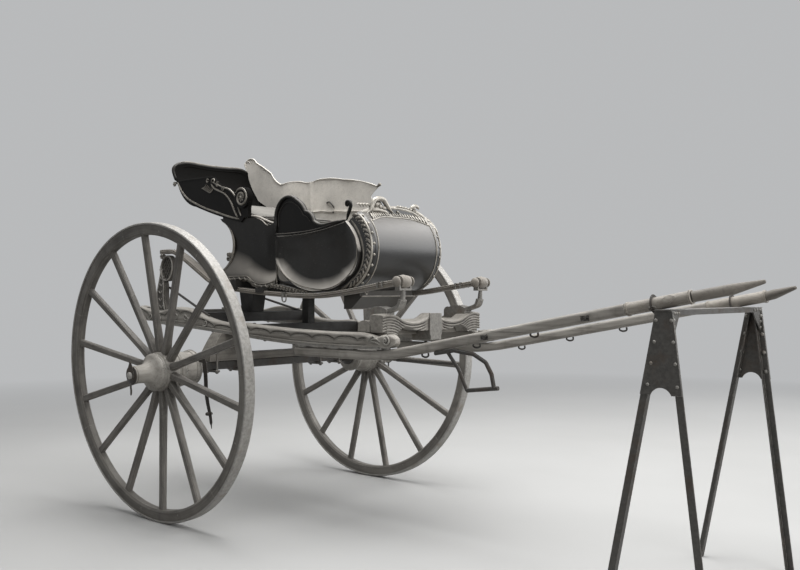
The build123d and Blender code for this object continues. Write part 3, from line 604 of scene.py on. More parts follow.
# Near-black wood for the middle crossbars, buffers and bearers under the body: painted shade for parts that
# lie in shadow.
painted_shade_wood = wood("painted_shade_wood", (0.022, 0.020, 0.0175), (0.010, 0.009, 0.008), (50.0, 2.0, 60.0), worn=0.2)
inner_wood = wood("inner_wood", (0.11, 0.095, 0.075), (0.05, 0.042, 0.034), (3.0, 60.0, 60.0), worn=0.2)
tyre_mat = iron("tyre_iron", (0.32, 0.308, 0.287), (0.23, 0.195, 0.16), (0.62, 0.60, 0.57), 0.3, 0.50, 0.25)
dark_iron = iron("dark_iron", (0.055, 0.052, 0.048), (0.075, 0.055, 0.042), (0.30, 0.28, 0.26), 0.5, 0.48,
                 0.5)
plate_iron = iron("plate_iron", (0.21, 0.20, 0.182), (0.15, 0.115, 0.088), (0.46, 0.44, 0.41), 0.4, 0.45, 0.3)
rail_iron = iron("rail_iron", (0.34, 0.326, 0.302), (0.20, 0.165, 0.13), (0.62, 0.60, 0.57), 0.3, 0.45, 0.3)
ball_iron = iron("ball_iron", (0.40, 0.385, 0.36), (0.22, 0.19, 0.16), (0.66, 0.64, 0.61), 0.25, 0.40, 0.3)
clip_iron = iron("clip_iron", (0.14, 0.132, 0.12), (0.11, 0.09, 0.07), (0.40, 0.38, 0.35), 0.4, 0.5, 0.3)
trestle_iron = iron("trestle_iron", (0.075, 0.071, 0.065), (0.085, 0.063, 0.048), (0.36, 0.34, 0.31), 0.4,
                    0.5, 0.4)
# The second colour of each lacquer goes on its upward-facing faces as dust together with painted top light.
body_black = lacquer("body_lacquer", (0.0075, 0.007, 0.0063), (0.20, 0.187, 0.17), 0.18, 1.3, 0.14)
# The disc's pale, upward-facing lower cove is a painted highlight together with dust.
disc_black = lacquer("disc_lacquer", (0.019, 0.0177, 0.016), (0.60, 0.565, 0.515), 0.5, 1.45, 0.16, dust_and_toplight_share=1.0,
                     tilt=(0.04, 0.24))
shell_black = lacquer("shell_lacquer", (0.0065, 0.006, 0.0054), (0.14, 0.13, 0.115), 0.2, 1.3, 0.14,
                      dust_and_toplight_share=0.3, dull_inside=True)
drum_black = lacquer("drum_lacquer", (0.006, 0.0056, 0.005), (0.30, 0.28, 0.255), 1.0, 1.52, 0.30, craze=0.08,
                     dust_and_toplight_share=0.42, tilt=(0.0, 0.6))
# Side panels and ear lips: upward-facing parts pale with dust and a painted top light, which gives the lips
# their bright top lines.
panel_grey = lacquer("side_panel_lacquer", (0.016, 0.0148, 0.0132), (0.40, 0.372, 0.333), 0.3, 1.4, 0.2,
                     dust_and_toplight_share=1.0, tilt=(0.02, 0.26))
box_grey = lacquer("under_box_lacquer", (0.075, 0.070, 0.063), (0.34, 0.318, 0.285), 0.3, 1.4, 0.2)
lip_grey = lacquer("lip_lacquer", (0.016, 0.0148, 0.0132), (0.115, 0.107, 0.096), 0.4, 1.4, 0.2, dust_and_toplight_share=1.0,
                   tilt=(0.02, 0.26))
corner_grey = lacquer("corner_lacquer", (0.32, 0.30, 0.268), (0.34, 0.318, 0.285), 0.3, 1.4, 0.2)
trim_gilt = gilt("trim_gilt", (0.30, 0.275, 0.235), (0.10, 0.09, 0.076))
crest_gilt = gilt("crest_gilt", (0.50, 0.465, 0.405), (0.20, 0.185, 0.16))
brace_leather = leather("brace_leather", (0.25, 0.226, 0.195), (0.04, 0.032, 0.025), stretch=(0.4, 1.0, 1.0))
apron_leather = leather("apron_leather", (0.74, 0.70, 0.635), (0.36, 0.33, 0.285), 300.0, 0.6, stain=0.25)
sleeve_leather = leather("sleeve_leather", (0.36, 0.328, 0.285), (0.05, 0.041, 0.033),
                         stretch=(0.5, 1.0, 1.0))
tip_leather = leather("tip_leather", (0.19, 0.172, 0.148), (0.035, 0.03, 0.025), stretch=(0.5, 1.0, 1.0))
strap_leather = leather("strap_leather", (0.035, 0.029, 0.024), (0.012, 0.01, 0.008))
cushion_leather = leather("cushion_leather", (0.19, 0.181, 0.165), (0.07, 0.066, 0.059), 350.0, 0.8,
                          sheen=0.0)
thread = leather("waxed_thread", (0.42, 0.395, 0.35), (0.2, 0.185, 0.16), 900.0, 0.7)


# Dished disc on each side of the barrel front, with a bead round it
disc_ring = outline(
    (0.305, 1.330), ((0.305, 1.450),), ((0.560, 1.456), (0.822, 1.500)), ((0.880, 1.435), (0.909, 1.358)),
    ((0.893, 1.272), (0.827, 1.214)), ((0.756, 1.172), (0.667, 1.158)), ((0.470, 1.178), (0.360, 1.248)),
    ((0.325, 1.283), (0.305, 1.330)), step=0.010,
)


def disc_height(d, q):
    if d < 0.011:
        return disc_face_y - 0.0055 + 0.0055 * math.sin(math.pi * d / 0.011)
    t = min(1.0, (d - 0.011) / 0.060)
    floor_y = 0.2685 + 0.0015 * math.cos(9 * (q[0] - 0.6))
    return disc_face_y - 0.0055 + (floor_y - disc_face_y + 0.0055) * math.sin(math.pi / 2 * t)


discs = Form()
discs.relief(disc_ring, disc_centre, disc_height, 0.2664, lambda x, z, h: at(x, -h, z))
bead_line = [(0.822, 1.500)] + arc((0.822, 1.500), (0.880, 1.435), (0.909, 1.358), 0.01)
bead_line += arc((0.909, 1.358), (0.893, 1.272), (0.827, 1.214), 0.01)
bead_line += arc((0.827, 1.214), (0.756, 1.172), (0.667, 1.158), 0.01)
outer_bead = []
for x, z in bead_line:
    away = Vector((x - disc_centre[0], z - disc_centre[1])).normalized()
    outer_bead.append((x + away.x * 0.016, z + away.y * 0.016))
discs.mirrored()
disc_piece = discs.piece("barrel_discs", "carriage", "body_lacquer", disc_black)
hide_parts("drum_discs")

disc_beads = Form()
disc_beads.side_bead(even(outer_bead, 0.01), -0.2635, 0.0062, taper=0.1)
low_rim = [(0.315, 1.318), (0.345, 1.272), (0.402, 1.225), (0.490, 1.189), (0.580, 1.171), (0.667, 1.167),
           (0.750, 1.184), (0.822, 1.222), (0.876, 1.274), (0.898, 1.340), (0.888, 1.410), (0.850, 1.470)]
disc_beads.side_bead(smooth(low_rim, 6), -0.2825, 0.0026, taper=0.15)
disc_beads.mirrored()
disc_beads.piece("disc_beads", "carriage", "body_lacquer", trim_gilt)

# Rolled lips on the side ears, with a bead inside the lobes and a fold line below them
ear_top = outline((0.312, 1.470), ((0.310, 1.535),), ((0.321, 1.588), (0.347, 1.623)),
                  ((0.405, 1.646), (0.472, 1.624)), ((0.511, 1.597), (0.537, 1.562)),
                  ((0.573, 1.549), (0.598, 1.511)), ((0.640, 1.491), (0.700, 1.492)),
                  ((0.760, 1.498), (0.806, 1.501)), step=0.010)
ears = Form()
ears.side_bead(ear_top, -0.2845, 0.0078, 10, 0.06)
inner_ear = outline((0.330, 1.490), ((0.332, 1.560), (0.362, 1.600)), ((0.410, 1.617), (0.455, 1.604)),
                    ((0.490, 1.580), (0.515, 1.545)), ((0.550, 1.528), (0.575, 1.497)), step=0.010)
ears.side_bead(inner_ear, -0.2795, 0.0028, 6, 0.15)
fold_line = [(0.305, 1.456), (0.409, 1.4545), (0.580, 1.463), (0.705, 1.483), (0.815, 1.504)]
ears.side_bead(smooth(fold_line, 8), -0.2835, 0.0046, 8, 0.05)
ears.mirrored()
ears.piece("ear_lips", "carriage", "body_lacquer", lip_grey)

# Rolled lip in front of the seat, between the wing's scroll and the ear
near_lip = Form()
lip_line = [(0.052, 1.560), (0.110, 1.5605), (0.160, 1.551), (0.208, 1.534), (0.273, 1.515), (0.302, 1.527),
            (0.316, 1.548)]
near_lip.side_bead(smooth(lip_line, 8), -0.2640, 0.0085, 10, 0.08)
lens = [(0.118, 1.532), (0.150, 1.524), (0.190, 1.508), (0.235, 1.492), (0.268, 1.488)]
near_lip.sweep(side_line(smooth(lens, 6), -0.2655), round_section(10, 0.30),
               [0.006 + 0.010 * math.sin(math.pi * i / 24) for i in range(25)], (0, 1, 0))
near_lip.mirrored()
near_lip.piece("seat_lips", "carriage", "body_lacquer", panel_grey)

# Thin corner plates that carry the side panels on to the barrel's discs
corner = Form()
corner_low = [(0.304, 1.250), (0.316, 1.232), (0.330, 1.216), (0.352, 1.209), (0.376, 1.209), (0.400, 1.209)]
corner_rings = []
for x, z in corner_low:
    corner_rings.append([at(x, -0.2674, z), at(x, -0.2674, 1.300), at(x, -0.2656, 1.300), at(x, -0.2656, z),
                         at(x, -0.2674, z)])
corner.grid(corner_rings)
for ring in (corner_rings[0], corner_rings[-1]):
    corner.grid([[ring[0], ring[1]], [ring[3], ring[2]]])
corner.mirrored()
corner.piece("corner_plates", "carriage", "body_lacquer", corner_grey, joined=True)

# Waisted side panels of the seat box: overhanging above the waist, spreading below it
panel_rear = outline((-0.158, 1.553), ((-0.050, 1.405), (-0.153, 1.270)), ((-0.138, 1.243), (-0.106, 1.221)))
panel_rear = [(z, x) for x, z in reversed(panel_rear)]
panel_top = outline((-0.158, 1.560), ((-0.020, 1.560),), ((0.050, 1.552),), ((0.110, 1.5535),),
                    ((0.160, 1.5475), (0.208, 1.527)), ((0.273, 1.508), (0.2995, 1.528)))
panel_low = outline((-0.158, 1.222), ((-0.108, 1.2205),), ((0.066, 1.2205),),
                    ((0.092, 1.2095), (0.111, 1.1955)), ((0.200, 1.1785), (0.2995, 1.1965)))
panel_rows = []
for k in range(31):
    t = k / 30
    row = []
    for i in range(33):
        u = i / 32
        guess = -0.10 + 0.40 * u
        z = height_at(panel_low, guess) * (1 - t) + height_at(panel_top, guess) * t
        left = height_at(panel_rear, z)
        x = left + (0.2995 - left) * u
        z = height_at(panel_low, x) * (1 - t) + height_at(panel_top, x) * t
        waist = 0.54 - 0.30 * u
        if t < waist:
            out = 0.0165 * (math.cos(math.pi * t / waist) * 0.5 + 0.5)**1.15
        else:
            out = 0.0185 * (0.5 - 0.5 * math.cos(math.pi * (t - waist) / (1 - waist)))
        row.append(at(x, -0.2625 - out, z))
    panel_rows.append(row)
panels = Form()
back_rows = [[Vector((p[0], -0.2621, p[2])) for p in row] for row in panel_rows]
panels.grid(panel_rows)
panels.grid([panel_rows[0], back_rows[0]])
panels.grid([panel_rows[-1], back_rows[-1]])
panels.grid([[row[0] for row in panel_rows], [row[0] for row in back_rows]])
panels.grid([[row[-1] for row in panel_rows], [row[-1] for row in back_rows]])
panels.mirrored()
panels.piece("side_panels", "carriage", "body_lacquer", panel_grey)

panel_trim = Form()
rear_bead = [(x, z) for z, x in panel_rear]
panel_trim.side_bead(even(rear_bead, 0.012), -0.2700, 0.0075, 10, 0.03)
for y, drop, r in ((-0.2745, 0.004, 0.0065), (-0.2700, 0.016, 0.0045), (-0.2790, -0.008, 0.0036)):
    line = [(x, z - drop + 0.010) for x, z in panel_low if x > -0.115]
    panel_trim.side_bead(even(line, 0.010), y, r, 8, 0.03)
panel_trim.bead([at(0.3035, -0.2700, 1.20), at(0.3035, -0.2715, 1.32), at(0.3035, -0.2725, 1.44)], 0.0036,
                (0, 1, 0))
for k in range(9):
    x = -0.085 + k * 0.044
    z = height_at(panel_low, x) + 0.006
    leaf = [at(x, -0.2780, z + 0.012), at(x + 0.006, -0.2800, z + 0.002), at(x + 0.016, -0.2790, z - 0.006),
            at(x + 0.027, -0.2770, z - 0.002)]
    panel_trim.bead(smooth(leaf, 4), 0.0048, (0, 1, 0), 7, 0.45)
panel_trim.mirrored()
panel_trim.piece("side_panel_mouldings", "carriage", "body_lacquer", trim_gilt)


# Carving on the wings of the seat: double S bead, edge bead, leaf scrolls and a rosette in the scroll
def spiral(cx, cz, r0, r1, start, turns, per_turn=26):
    count = max(4, round(per_turn * abs(turns)))
    out = []
    for i in range(count + 1):
        t = i / count
        angle = math.radians(start) + math.tau * turns * t
        r = r0 + (r1 - r0) * t**0.85
        out.append((cx + r * math.cos(angle), cz + r * math.sin(angle)))
    return out


wings = Form()
for line in (
    [(-0.229, 1.761), (-0.193, 1.730), (-0.104, 1.695), (-0.052, 1.648), (-0.017, 1.591), (0.007, 1.560)],
    [(-0.211, 1.767), (-0.130, 1.737), (-0.060, 1.714), (-0.012, 1.672), (0.014, 1.612), (0.034, 1.566)],
):
    wings.side_bead(smooth(line, 6), -0.2915, 0.0050, 8, 0.10)
edge_line = [(-0.547, 1.796), (-0.500, 1.736), (-0.445, 1.692), (-0.365, 1.657), (-0.270, 1.624),
             (-0.150, 1.590), (-0.060, 1.566), (0.020, 1.550)]
wings.side_bead(smooth(edge_line, 6), -0.2905, 0.0056, 8, 0.06)
top_line = [(-0.545, 1.798), (-0.454, 1.7985), (-0.340, 1.7985), (-0.272, 1.798), (-0.214, 1.790),
            (-0.170, 1.756), (-0.108, 1.733), (-0.040, 1.700), (0.000, 1.662)]
wing_tops = Form()
wing_tops.side_bead(smooth(top_line, 6), -0.2860, 0.0080, 10, 0.05)
wing_tops.mirrored()
wing_tops.piece("wing_top_edges", "carriage", "body_lacquer", shell_black)
wings.side_bead(spiral(volute[0], volute[1], 0.0555, 0.020, 150, -1.45), -0.3000, 0.0062, 8, 0.10)
for k in range(7):
    angle = math.tau * k / 7
    petal = [at(volute[0] + r * math.cos(angle), -0.3005, volute[1] + r * math.sin(angle))
             for r in (0.006, 0.012, 0.018, 0.024)]
    wings.sweep(petal, round_section(8, 0.55), [0.0028, 0.0052, 0.0056, 0.0020], (0, 1, 0))
wings.dome(at(volute[0], -0.3000, volute[1]), 0.0085, (0, -1, 0), 0.8, 12)
for cx, cz, r, start, turns in ((-0.205, 1.772, 0.020, 200, -1.1), (-0.168, 1.752, 0.015, 60, 1.1),
                                (-0.258, 1.778, 0.014, 20, 1.0), (-0.120, 1.722, 0.012, 200, -1.0)):
    wings.side_bead(spiral(cx, cz, r, 0.003, start, turns), -0.2925, 0.0042, 7, 0.25)
for k in range(6):
    x = -0.270 + 0.012 * k
    z = 1.762 - 0.0055 * k
    leaf = [(x, z), (x - 0.010, z - 0.014), (x - 0.027, z - 0.022), (x - 0.044, z - 0.020)]
    wings.side_bead(smooth(leaf, 4), -0.2915, 0.0046, 7, 0.5)
wings.mirrored()
wings.piece("wing_carving", "carriage", "body_lacquer", trim_gilt)

# Thick rolled rim along the back's crest and down its two edges
rim_side = [(-0.556, 1.803), (-0.578, 1.840), (-0.588, 1.868)]
crest = [(-0.2850, 1.872), (-0.2760, 1.890), (-0.2560, 1.904), (-0.2250, 1.9135), (-0.1850, 1.9185),
         (-0.100, 1.9145), (0.0, 1.9120), (0.100, 1.9145), (0.1850, 1.9185), (0.2250, 1.9135),
         (0.2560, 1.904), (0.2760, 1.890), (0.2850, 1.872)]
rim_path = side_line(rim_side[:-1], -0.2860) + front_line(crest, -0.5910)
rim_path += side_line(reversed(rim_side[:-1]), 0.2860)
back_rim = Form()
back_rim.bead(even(smooth(rim_path, 5), 0.012), 0.0125, (1, 0, 0), 12, 0.02)
back_rim.piece("back_rim", "carriage", "body_lacquer", body_black)
rim_beads = Form()
inner_rim = [at(-0.5790, p[0] * 0.93, p[1] - 0.017) for p in crest]
rim_beads.bead(even(smooth(inner_rim, 4), 0.012), 0.0040, (1, 0, 0), 8, 0.05)
rim_beads.piece("back_rim_bead", "carriage", "body_lacquer", shell_black)
crown = Form()
crown_line = [at(-0.5860, p[0] * 0.985, p[1] + 0.0095) for p in crest[1:-1]]
crown.bead(even(smooth(crown_line, 4), 0.012), 0.0042, (1, 0, 0), 8, 0.10)
crown.piece("back_rim_crown", "carriage", "body_lacquer", trim_gilt)

# Trim of the barrel front: rim bead, lower band line, studs down both ends
crest_half = drum_half - 0.030


def crest_z(y):
    """Height of the barrel's rim at y."""
    t = min(1.0, abs(y) / crest_half)
    return 1.581 - 0.003 * (t / 0.34)**2 if t < 0.34 else 1.578 - 0.040 * ((t - 0.34) / 0.66)**1.6


def drum_x(z, r=drum_r):
    return drum_centre[0] + math.sqrt(max(0.0, r * r - (z - drum_centre[1])**2))


drum_trim = Form()
rim_line = [at(0.8725, y, crest_z(y) - 0.004) for y in [crest_half * (i / 24 - 1) for i in range(49)]]
drum_trim.bead(rim_line, 0.0110, (1, 0, 0), 10, 0.02)
band_line = []
for i in range(41):
    y = -0.214 + 0.428 * i / 40
    z = crest_z(y) - 0.050 - 0.004 * math.cos(10 * y)
    band_line.append(at(drum_x(z) + 0.001, y, z))


def down_end(end, y, first_deg, last_deg, r):
    """Points round the barrel at one end, from one angle to another."""
    count = max(2, round(abs(last_deg - first_deg) / 4))
    out = []
    for i in range(count + 1):
        a = math.radians(first_deg + (last_deg - first_deg) * i / count)
        out.append(at(drum_centre[0] + r * math.cos(a), end * y, drum_centre[1] + r * math.sin(a)))
    return out


face_frame = (list(reversed(down_end(-1, 0.2215, 44, -58, 0.2125))) + [band_line[0]] + band_line[1:-1]
              + [band_line[-1]] + down_end(1, 0.2215, 44, -58, 0.2125))
drum_trim.bead(even(smooth(face_frame, 2), 0.008), 0.0036, (0.6, 0.1, 0.8), 8, 0.02)
for end in (-1, 1):
    drum_trim.bead(down_end(end, 0.2610, 56, -66, 0.2040), 0.0062, (0, 1, 0), 8, 0.03)
for end in (-1, 1):
    for k in range(8):
        angle = math.radians(50 - 14.5 * k)
        p = at(drum_centre[0] + 0.2100 * math.cos(angle), end * 0.2500,
               drum_centre[1] + 0.2100 * math.sin(angle))
        drum_trim.dome(p, 0.0070, (math.cos(angle), end * 0.9, math.sin(angle)), 0.9, 10)
for k in range(23):
    y = -0.196 + 0.0185 * k
    low = crest_z(y) - 0.046
    leaf = []
    for t in (0.0, 0.35, 0.7, 1.0):
        z = low + 0.036 * t
        leaf.append(at(drum_x(z) + 0.002 + 0.004 * math.sin(math.pi * t), y + 0.016 * t**1.5, z))
    drum_trim.bead(smooth(leaf, 4), 0.0078, (1, 0, 0), 8, 0.45, 0.6)
c_scroll = [(-0.204, 1.534), (-0.177, 1.550), (-0.161, 1.574), (-0.145, 1.603), (-0.114, 1.6165),
            (-0.076, 1.612), (-0.053, 1.591), (-0.028, 1.568), (-0.004, 1.552)]
drum_trim.bead(smooth(front_line(c_scroll, 0.882), 6), 0.0130, (1, 0, 0), 10, 0.35)
bed = [(-0.172, 1.552), (-0.130, 1.560), (-0.080, 1.557), (-0.030, 1.546)]
drum_trim.bead(smooth(front_line(bed, 0.878), 6), 0.0120, (1, 0, 0), 10, 0.3)
drum_trim.dome(at(0.872, -0.102, 1.578), 0.0300, (1, 0, 0), 0.28, 20)
drum_trim.dome(at(0.876, -0.124, 1.587), 0.0145, (1, 0, 0), 0.9, 14)
drum_trim.dome(at(0.880, -0.098, 1.577), 0.0125, (1, 0, 0), 0.9, 12)
drum_trim.dome(at(0.880, -0.073, 1.571), 0.0120, (1, 0, 0), 0.9, 12)
for k in range(9):
    y = 0.030 + 0.021 * k
    z = crest_z(y) + 0.001
    leaf = [at(0.876, y - 0.008, z - 0.006), at(0.880, y, z + 0.004), at(0.878, y + 0.010, z + 0.007),
            at(0.876, y + 0.020, z + 0.002)]
    drum_trim.bead(smooth(leaf, 4), 0.0058, (1, 0, 0), 7, 0.5)
    leaf = [Vector((p.x, -p.y - 0.150, p.z - 0.004)) for p in leaf]
    if k < 4:
        drum_trim.bead(smooth(leaf, 4), 0.0054, (1, 0, 0), 7, 0.5)
pendant = [at(0.888, -0.056, 1.541), at(0.892, -0.032, 1.530), at(0.891, -0.010, 1.520),
           at(0.890, -0.012, 1.503)]
drum_trim.bead(smooth(pendant, 4), 0.0100, (1, 0, 0), 9, 0.4, 0.7)
for dy, dz, r in ((0.030, 1.560, 0.006), (0.046, 1.552, 0.005), (-0.160, 1.545, 0.006)):
    drum_trim.dome(at(0.883, dy, dz), r, (1, 0, 0.2), 0.9)
head = [(0.138, 1.574), (0.150, 1.591), (0.172, 1.599), (0.195, 1.596), (0.207, 1.585)]
drum_trim.bead(smooth(front_line(head, 0.876), 6), 0.0100, (1, 0, 0), 9, 0.4)
neck = [(0.172, 1.582), (0.188, 1.566), (0.214, 1.556), (0.240, 1.545), (0.257, 1.527)]
drum_trim.bead(smooth(front_line(neck, 0.872), 6), 0.0125, (1, 0, 0), 10, 0.3)
drum_trim.dome(at(0.872, 0.166, 1.586), 0.0140, (1, 0, 0), 0.9, 12)
end_leaves = Form()
for end in (-1, 1):
    for k in range(17):
        leaf = []
        for turned_by, r in ((0.0, 0.1780), (2.5, 0.1870), (5.5, 0.1950), (9.0, 0.1985)):
            angle = math.radians(64 - 8.0 * k - turned_by)
            leaf.append(at(drum_centre[0] + r * math.cos(angle), end * 0.2670,
                           drum_centre[1] + r * math.sin(angle)))
        end_leaves.bead(smooth(leaf, 4), 0.0062, (0, 1, 0), 8, 0.4)
        angle = math.radians(60 - 8.0 * k)
        end_leaves.dome(at(drum_centre[0] + 0.1760 * math.cos(angle), end * 0.2662,
                           drum_centre[1] + 0.1760 * math.sin(angle)), 0.0042, (0, end, 0), 0.9, 8)
end_leaves.piece("barrel_end_leaves", "carriage", "body_lacquer", trim_gilt)
ends = Form()
ends.bead(smooth([at(0.808, -0.262, 1.504), at(0.822, -0.266, 1.530), at(0.838, -0.270, 1.555),
                  at(0.846, -0.271, 1.578), at(0.836, -0.270, 1.594), at(0.818, -0.269, 1.593),
                  at(0.814, -0.268, 1.578), at(0.826, -0.268, 1.573)], 6), 0.0088, (0, 1, 0), 10, 0.25)
ends.dome(at(0.829, -0.262, 1.583), 0.0115, (0, -1, 0), 1.2, 12)
ends.piece("barrel_end_curl", "carriage", "body_lacquer", body_black)
latch = Form()
latch.bead(smooth([at(0.138, 0.2570, 1.664), at(0.146, 0.2530, 1.671), at(0.168, 0.2510, 1.672),
                   at(0.190, 0.2520, 1.652), at(0.200, 0.2570, 1.634)], 5), 0.0046, (0, 1, 0), 8, 0.25)
latch.dome(at(0.192, 0.2560, 1.612), 0.0055, (0, -1, 0), 0.8, 10)
latch_piece = latch.piece("sheet_latch", "carriage", "dark_iron", dark_iron)
for leaf in (
    [(0.236, 1.556), (0.262, 1.541), (0.290, 1.520), (0.312, 1.494)],
    [(0.236, 1.556), (0.256, 1.524), (0.272, 1.494), (0.276, 1.460)],
    [(0.236, 1.556), (0.250, 1.520), (0.250, 1.486), (0.238, 1.450)],
):
    path = []
    for i, p in enumerate(smooth(leaf, 5)):
        y = min(p[0], 0.262)
        path.append(at(drum_x(p[1]) - 0.010 + 0.0006 * i, y, p[1]))
    drum_trim.bead(path, 0.0085, (1, 0, 0), 8, 0.5, 0.6)
drum_trim.piece("barrel_trim", "carriage", "body_lacquer", crest_gilt)

# Stiff pale leather sheet on the left side of the seat
sheet_top = outline((-0.603, 1.9700), ((-0.588, 1.9840), (-0.495, 1.9650)),
                    ((-0.427, 1.929), (-0.353, 1.885)), ((-0.307, 1.834), (-0.261, 1.810)),
                    ((-0.171, 1.819), (-0.083, 1.814)), ((-0.013, 1.803), (0.055, 1.814)),
                    ((0.171, 1.814), (0.274, 1.798)), ((0.380, 1.784), (0.546, 1.735)), step=0.008)
sheet_low = outline((-0.603, 1.932), ((-0.572, 1.870),), ((-0.535, 1.798),), ((-0.478, 1.722),),
                    ((-0.375, 1.668),), ((-0.155, 1.600),), ((0.058, 1.560),), ((0.302, 1.5580),),
                    ((0.306, 1.4830),), ((0.520, 1.4830),), ((0.546, 1.490),), step=0.008)


def sheet_right(z):
    """The sheet's front edge: a horn at the top, then a hollow."""
    if z > 1.735:
        return 0.546
    if z > 1.684:
        return 0.484 + 0.062 * ((z - 1.684) / 0.051)**1.3
    return 0.484 + 0.062 * ((1.684 - z) / 0.196)**0.8


sheet_rear = -0.603
sheet_length = 1.149
sheet_face_y = 0.2612
sheet_thick = 0.0030
sheet = Form()
sheet_rows = []
for k in range(45):
    t = k / 44
    row = []
    for i in range(141):
        x = sheet_rear + sheet_length * i / 140
        z = height_at(sheet_low, x) * (1 - t) + height_at(sheet_top, x) * t
        if x > 0.35:
            limit = sheet_right(z)
            x = 0.35 + (x - 0.35) * (limit - 0.35) / (0.546 - 0.35)
        wave = 0.0016 * math.sin(11 * x + 5 * z) + 0.0012 * math.sin(31 * x - 17 * z)
        fold = 0.0042 * math.exp(-((x - 0.002) / 0.012)**2) * min(1.0, t * 3)
        seam = 0.0020 * math.exp(-((z - 1.628 + 0.05 * x) / 0.006)**2) * (1.0 if x > 0 else 0.0)
        sag = 0.0040 * math.sin(math.pi * t) * (0.5 + 0.5 * math.cos(6.5 * (x + 0.1)))
        y = sheet_face_y - wave - fold - seam - sag
        row.append(at(x, y, z))
    sheet_rows.append(row)
sheet_back = [[p + Vector((0, sheet_thick, 0)) for p in row] for row in sheet_rows]
sheet.grid(sheet_rows)
sheet.grid([list(reversed(row)) for row in sheet_back])
for a, b in ((sheet_rows[0], sheet_back[0]), (sheet_rows[-1], sheet_back[-1]),
             ([r[0] for r in sheet_rows], [r[0] for r in sheet_back]),
             ([r[-1] for r in sheet_rows], [r[-1] for r in sheet_back])):
    sheet.grid([a, b])
sheet_piece = sheet.piece("apron_sheet", "carriage", "apron_leather", apron_leather, 60, joined=True)
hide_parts("apron")
hem = Form()
hem.bead(even([at(x, 0.2600, z - 0.0035) for x, z in sheet_top], 0.012), 0.0034, (0, 1, 0), 8, 0.02)
seam_line = [at(0.004 + 0.012 * i, 0.2555, 1.628 - 0.0006 * i - 0.002 * math.sin(0.6 * i)) for i in range(39)]
hem.bead(seam_line, 0.0026, (0, 1, 0), 7, 0.05)
hem.bead([at(0.002, 0.2560, 1.628 + 0.0058 * i) for i in range(32)], 0.0026, (0, 1, 0), 7, 0.05)
hem.bead(smooth([at(-0.600, 0.258, 1.940), at(-0.604, 0.262, 1.962), at(-0.592, 0.266, 1.975),
                 at(-0.570, 0.266, 1.974), at(-0.556, 0.262, 1.962)], 6), 0.0070, (0, 1, 0), 9, 0.3)
hem_piece = hem.piece("apron_hem", "carriage", "apron_leather", apron_leather, 60)
stitches = Form()
stitch_path = even([Vector((p[0], 0.2566, p[2] - 0.013)) for p in [at(x, 0.26, z) for x, z in sheet_top]],
                   0.006)
stitches.stitch_row(stitch_path, Vector((0, -0.0008, 0)), 0.0009)
for a, b in zip(seam_line, seam_line[1:]):
    low_a = a + Vector((0, 0.0005, -0.008))
    low_b = a.lerp(b, 0.6) + Vector((0, 0.0005, -0.008))
    stitches.bead([low_a, low_a.lerp(low_b, 0.5) + Vector((0, -0.0008, 0)), low_b], 0.0009, (0, 1, 0), 5, 0.3)
stitch_piece = stitches.piece("apron_stitches", "carriage", "apron_leather", thread, 60)
knob = Form()
knob.lathe([(0.0015, 0.0), (0.0060, 0.002), (0.0070, 0.007), (0.0050, 0.011), (0.0085, 0.016),
            (0.0100, 0.023), (0.0075, 0.030), (0.0020, 0.033)],
           Matrix.Translation(at(0.530, 0.2600, 1.735)) @ Matrix.Rotation(math.radians(64), 4, "Y"), 14)
knob_piece = knob.piece("apron_knob", "carriage", "body_lacquer", trim_gilt)


# Carved side rails: round top, lobed line along the outer face, a scroll at the front end
rail_top = outline((-0.790, 1.030), ((-0.770, 1.066), (-0.720, 1.070)), ((-0.600, 1.046), (-0.480, 1.058)),
                   ((-0.330, 1.068), (-0.200, 1.040)), ((-0.060, 1.004), (0.200, 0.994)),
                   ((0.600, 0.971), (1.030, 0.966)), ((1.090, 0.958), (1.140, 0.944)),
                   ((1.160, 0.957), (1.190, 0.9575)), ((1.228, 0.9580), (1.2400, 0.9480)),
                   ((1.246, 0.942), (1.246, 0.934)), step=0.002)
rail_low = outline((-0.790, 1.030), ((-0.760, 0.990),), ((-0.600, 0.986),), ((-0.200, 0.962), (0.200, 0.933)),
                   ((0.600, 0.907), (1.168, 0.904)), ((1.215, 0.9030), (1.2360, 0.9160)),
                   ((1.246, 0.924), (1.246, 0.934)), step=0.002)


def lobed(x):
    """Depth below the rail's top of the engraved line, with a point between its lobes."""
    phase = ((x - 0.413) / 0.152) % 1.0
    return 0.018 + 0.024 * (1 - math.sin(math.pi * phase)**0.35)


def rail_face_y(x, z, top, low):
    """The outer face, cut by the lobed line and a lower groove."""
    y = rail_y + rail_half
    depth = top - z
    line = lobed(x)
    fade = min(1.0, max(0.0, (1.085 - x) / 0.02)) * min(1.0, max(0.0, (x + 0.765) / 0.02))
    cut = 0.0060 * math.exp(-((depth - line) / 0.0028)**2)
    if depth > line:
        cut += 0.0026
    lower = z - low
    cut += 0.0032 * math.exp(-((lower - 0.0085) / 0.0022)**2)
    cut += 0.0022 * math.exp(-((depth - line - 0.010) / 0.0020)**2)
    return y - cut * fade


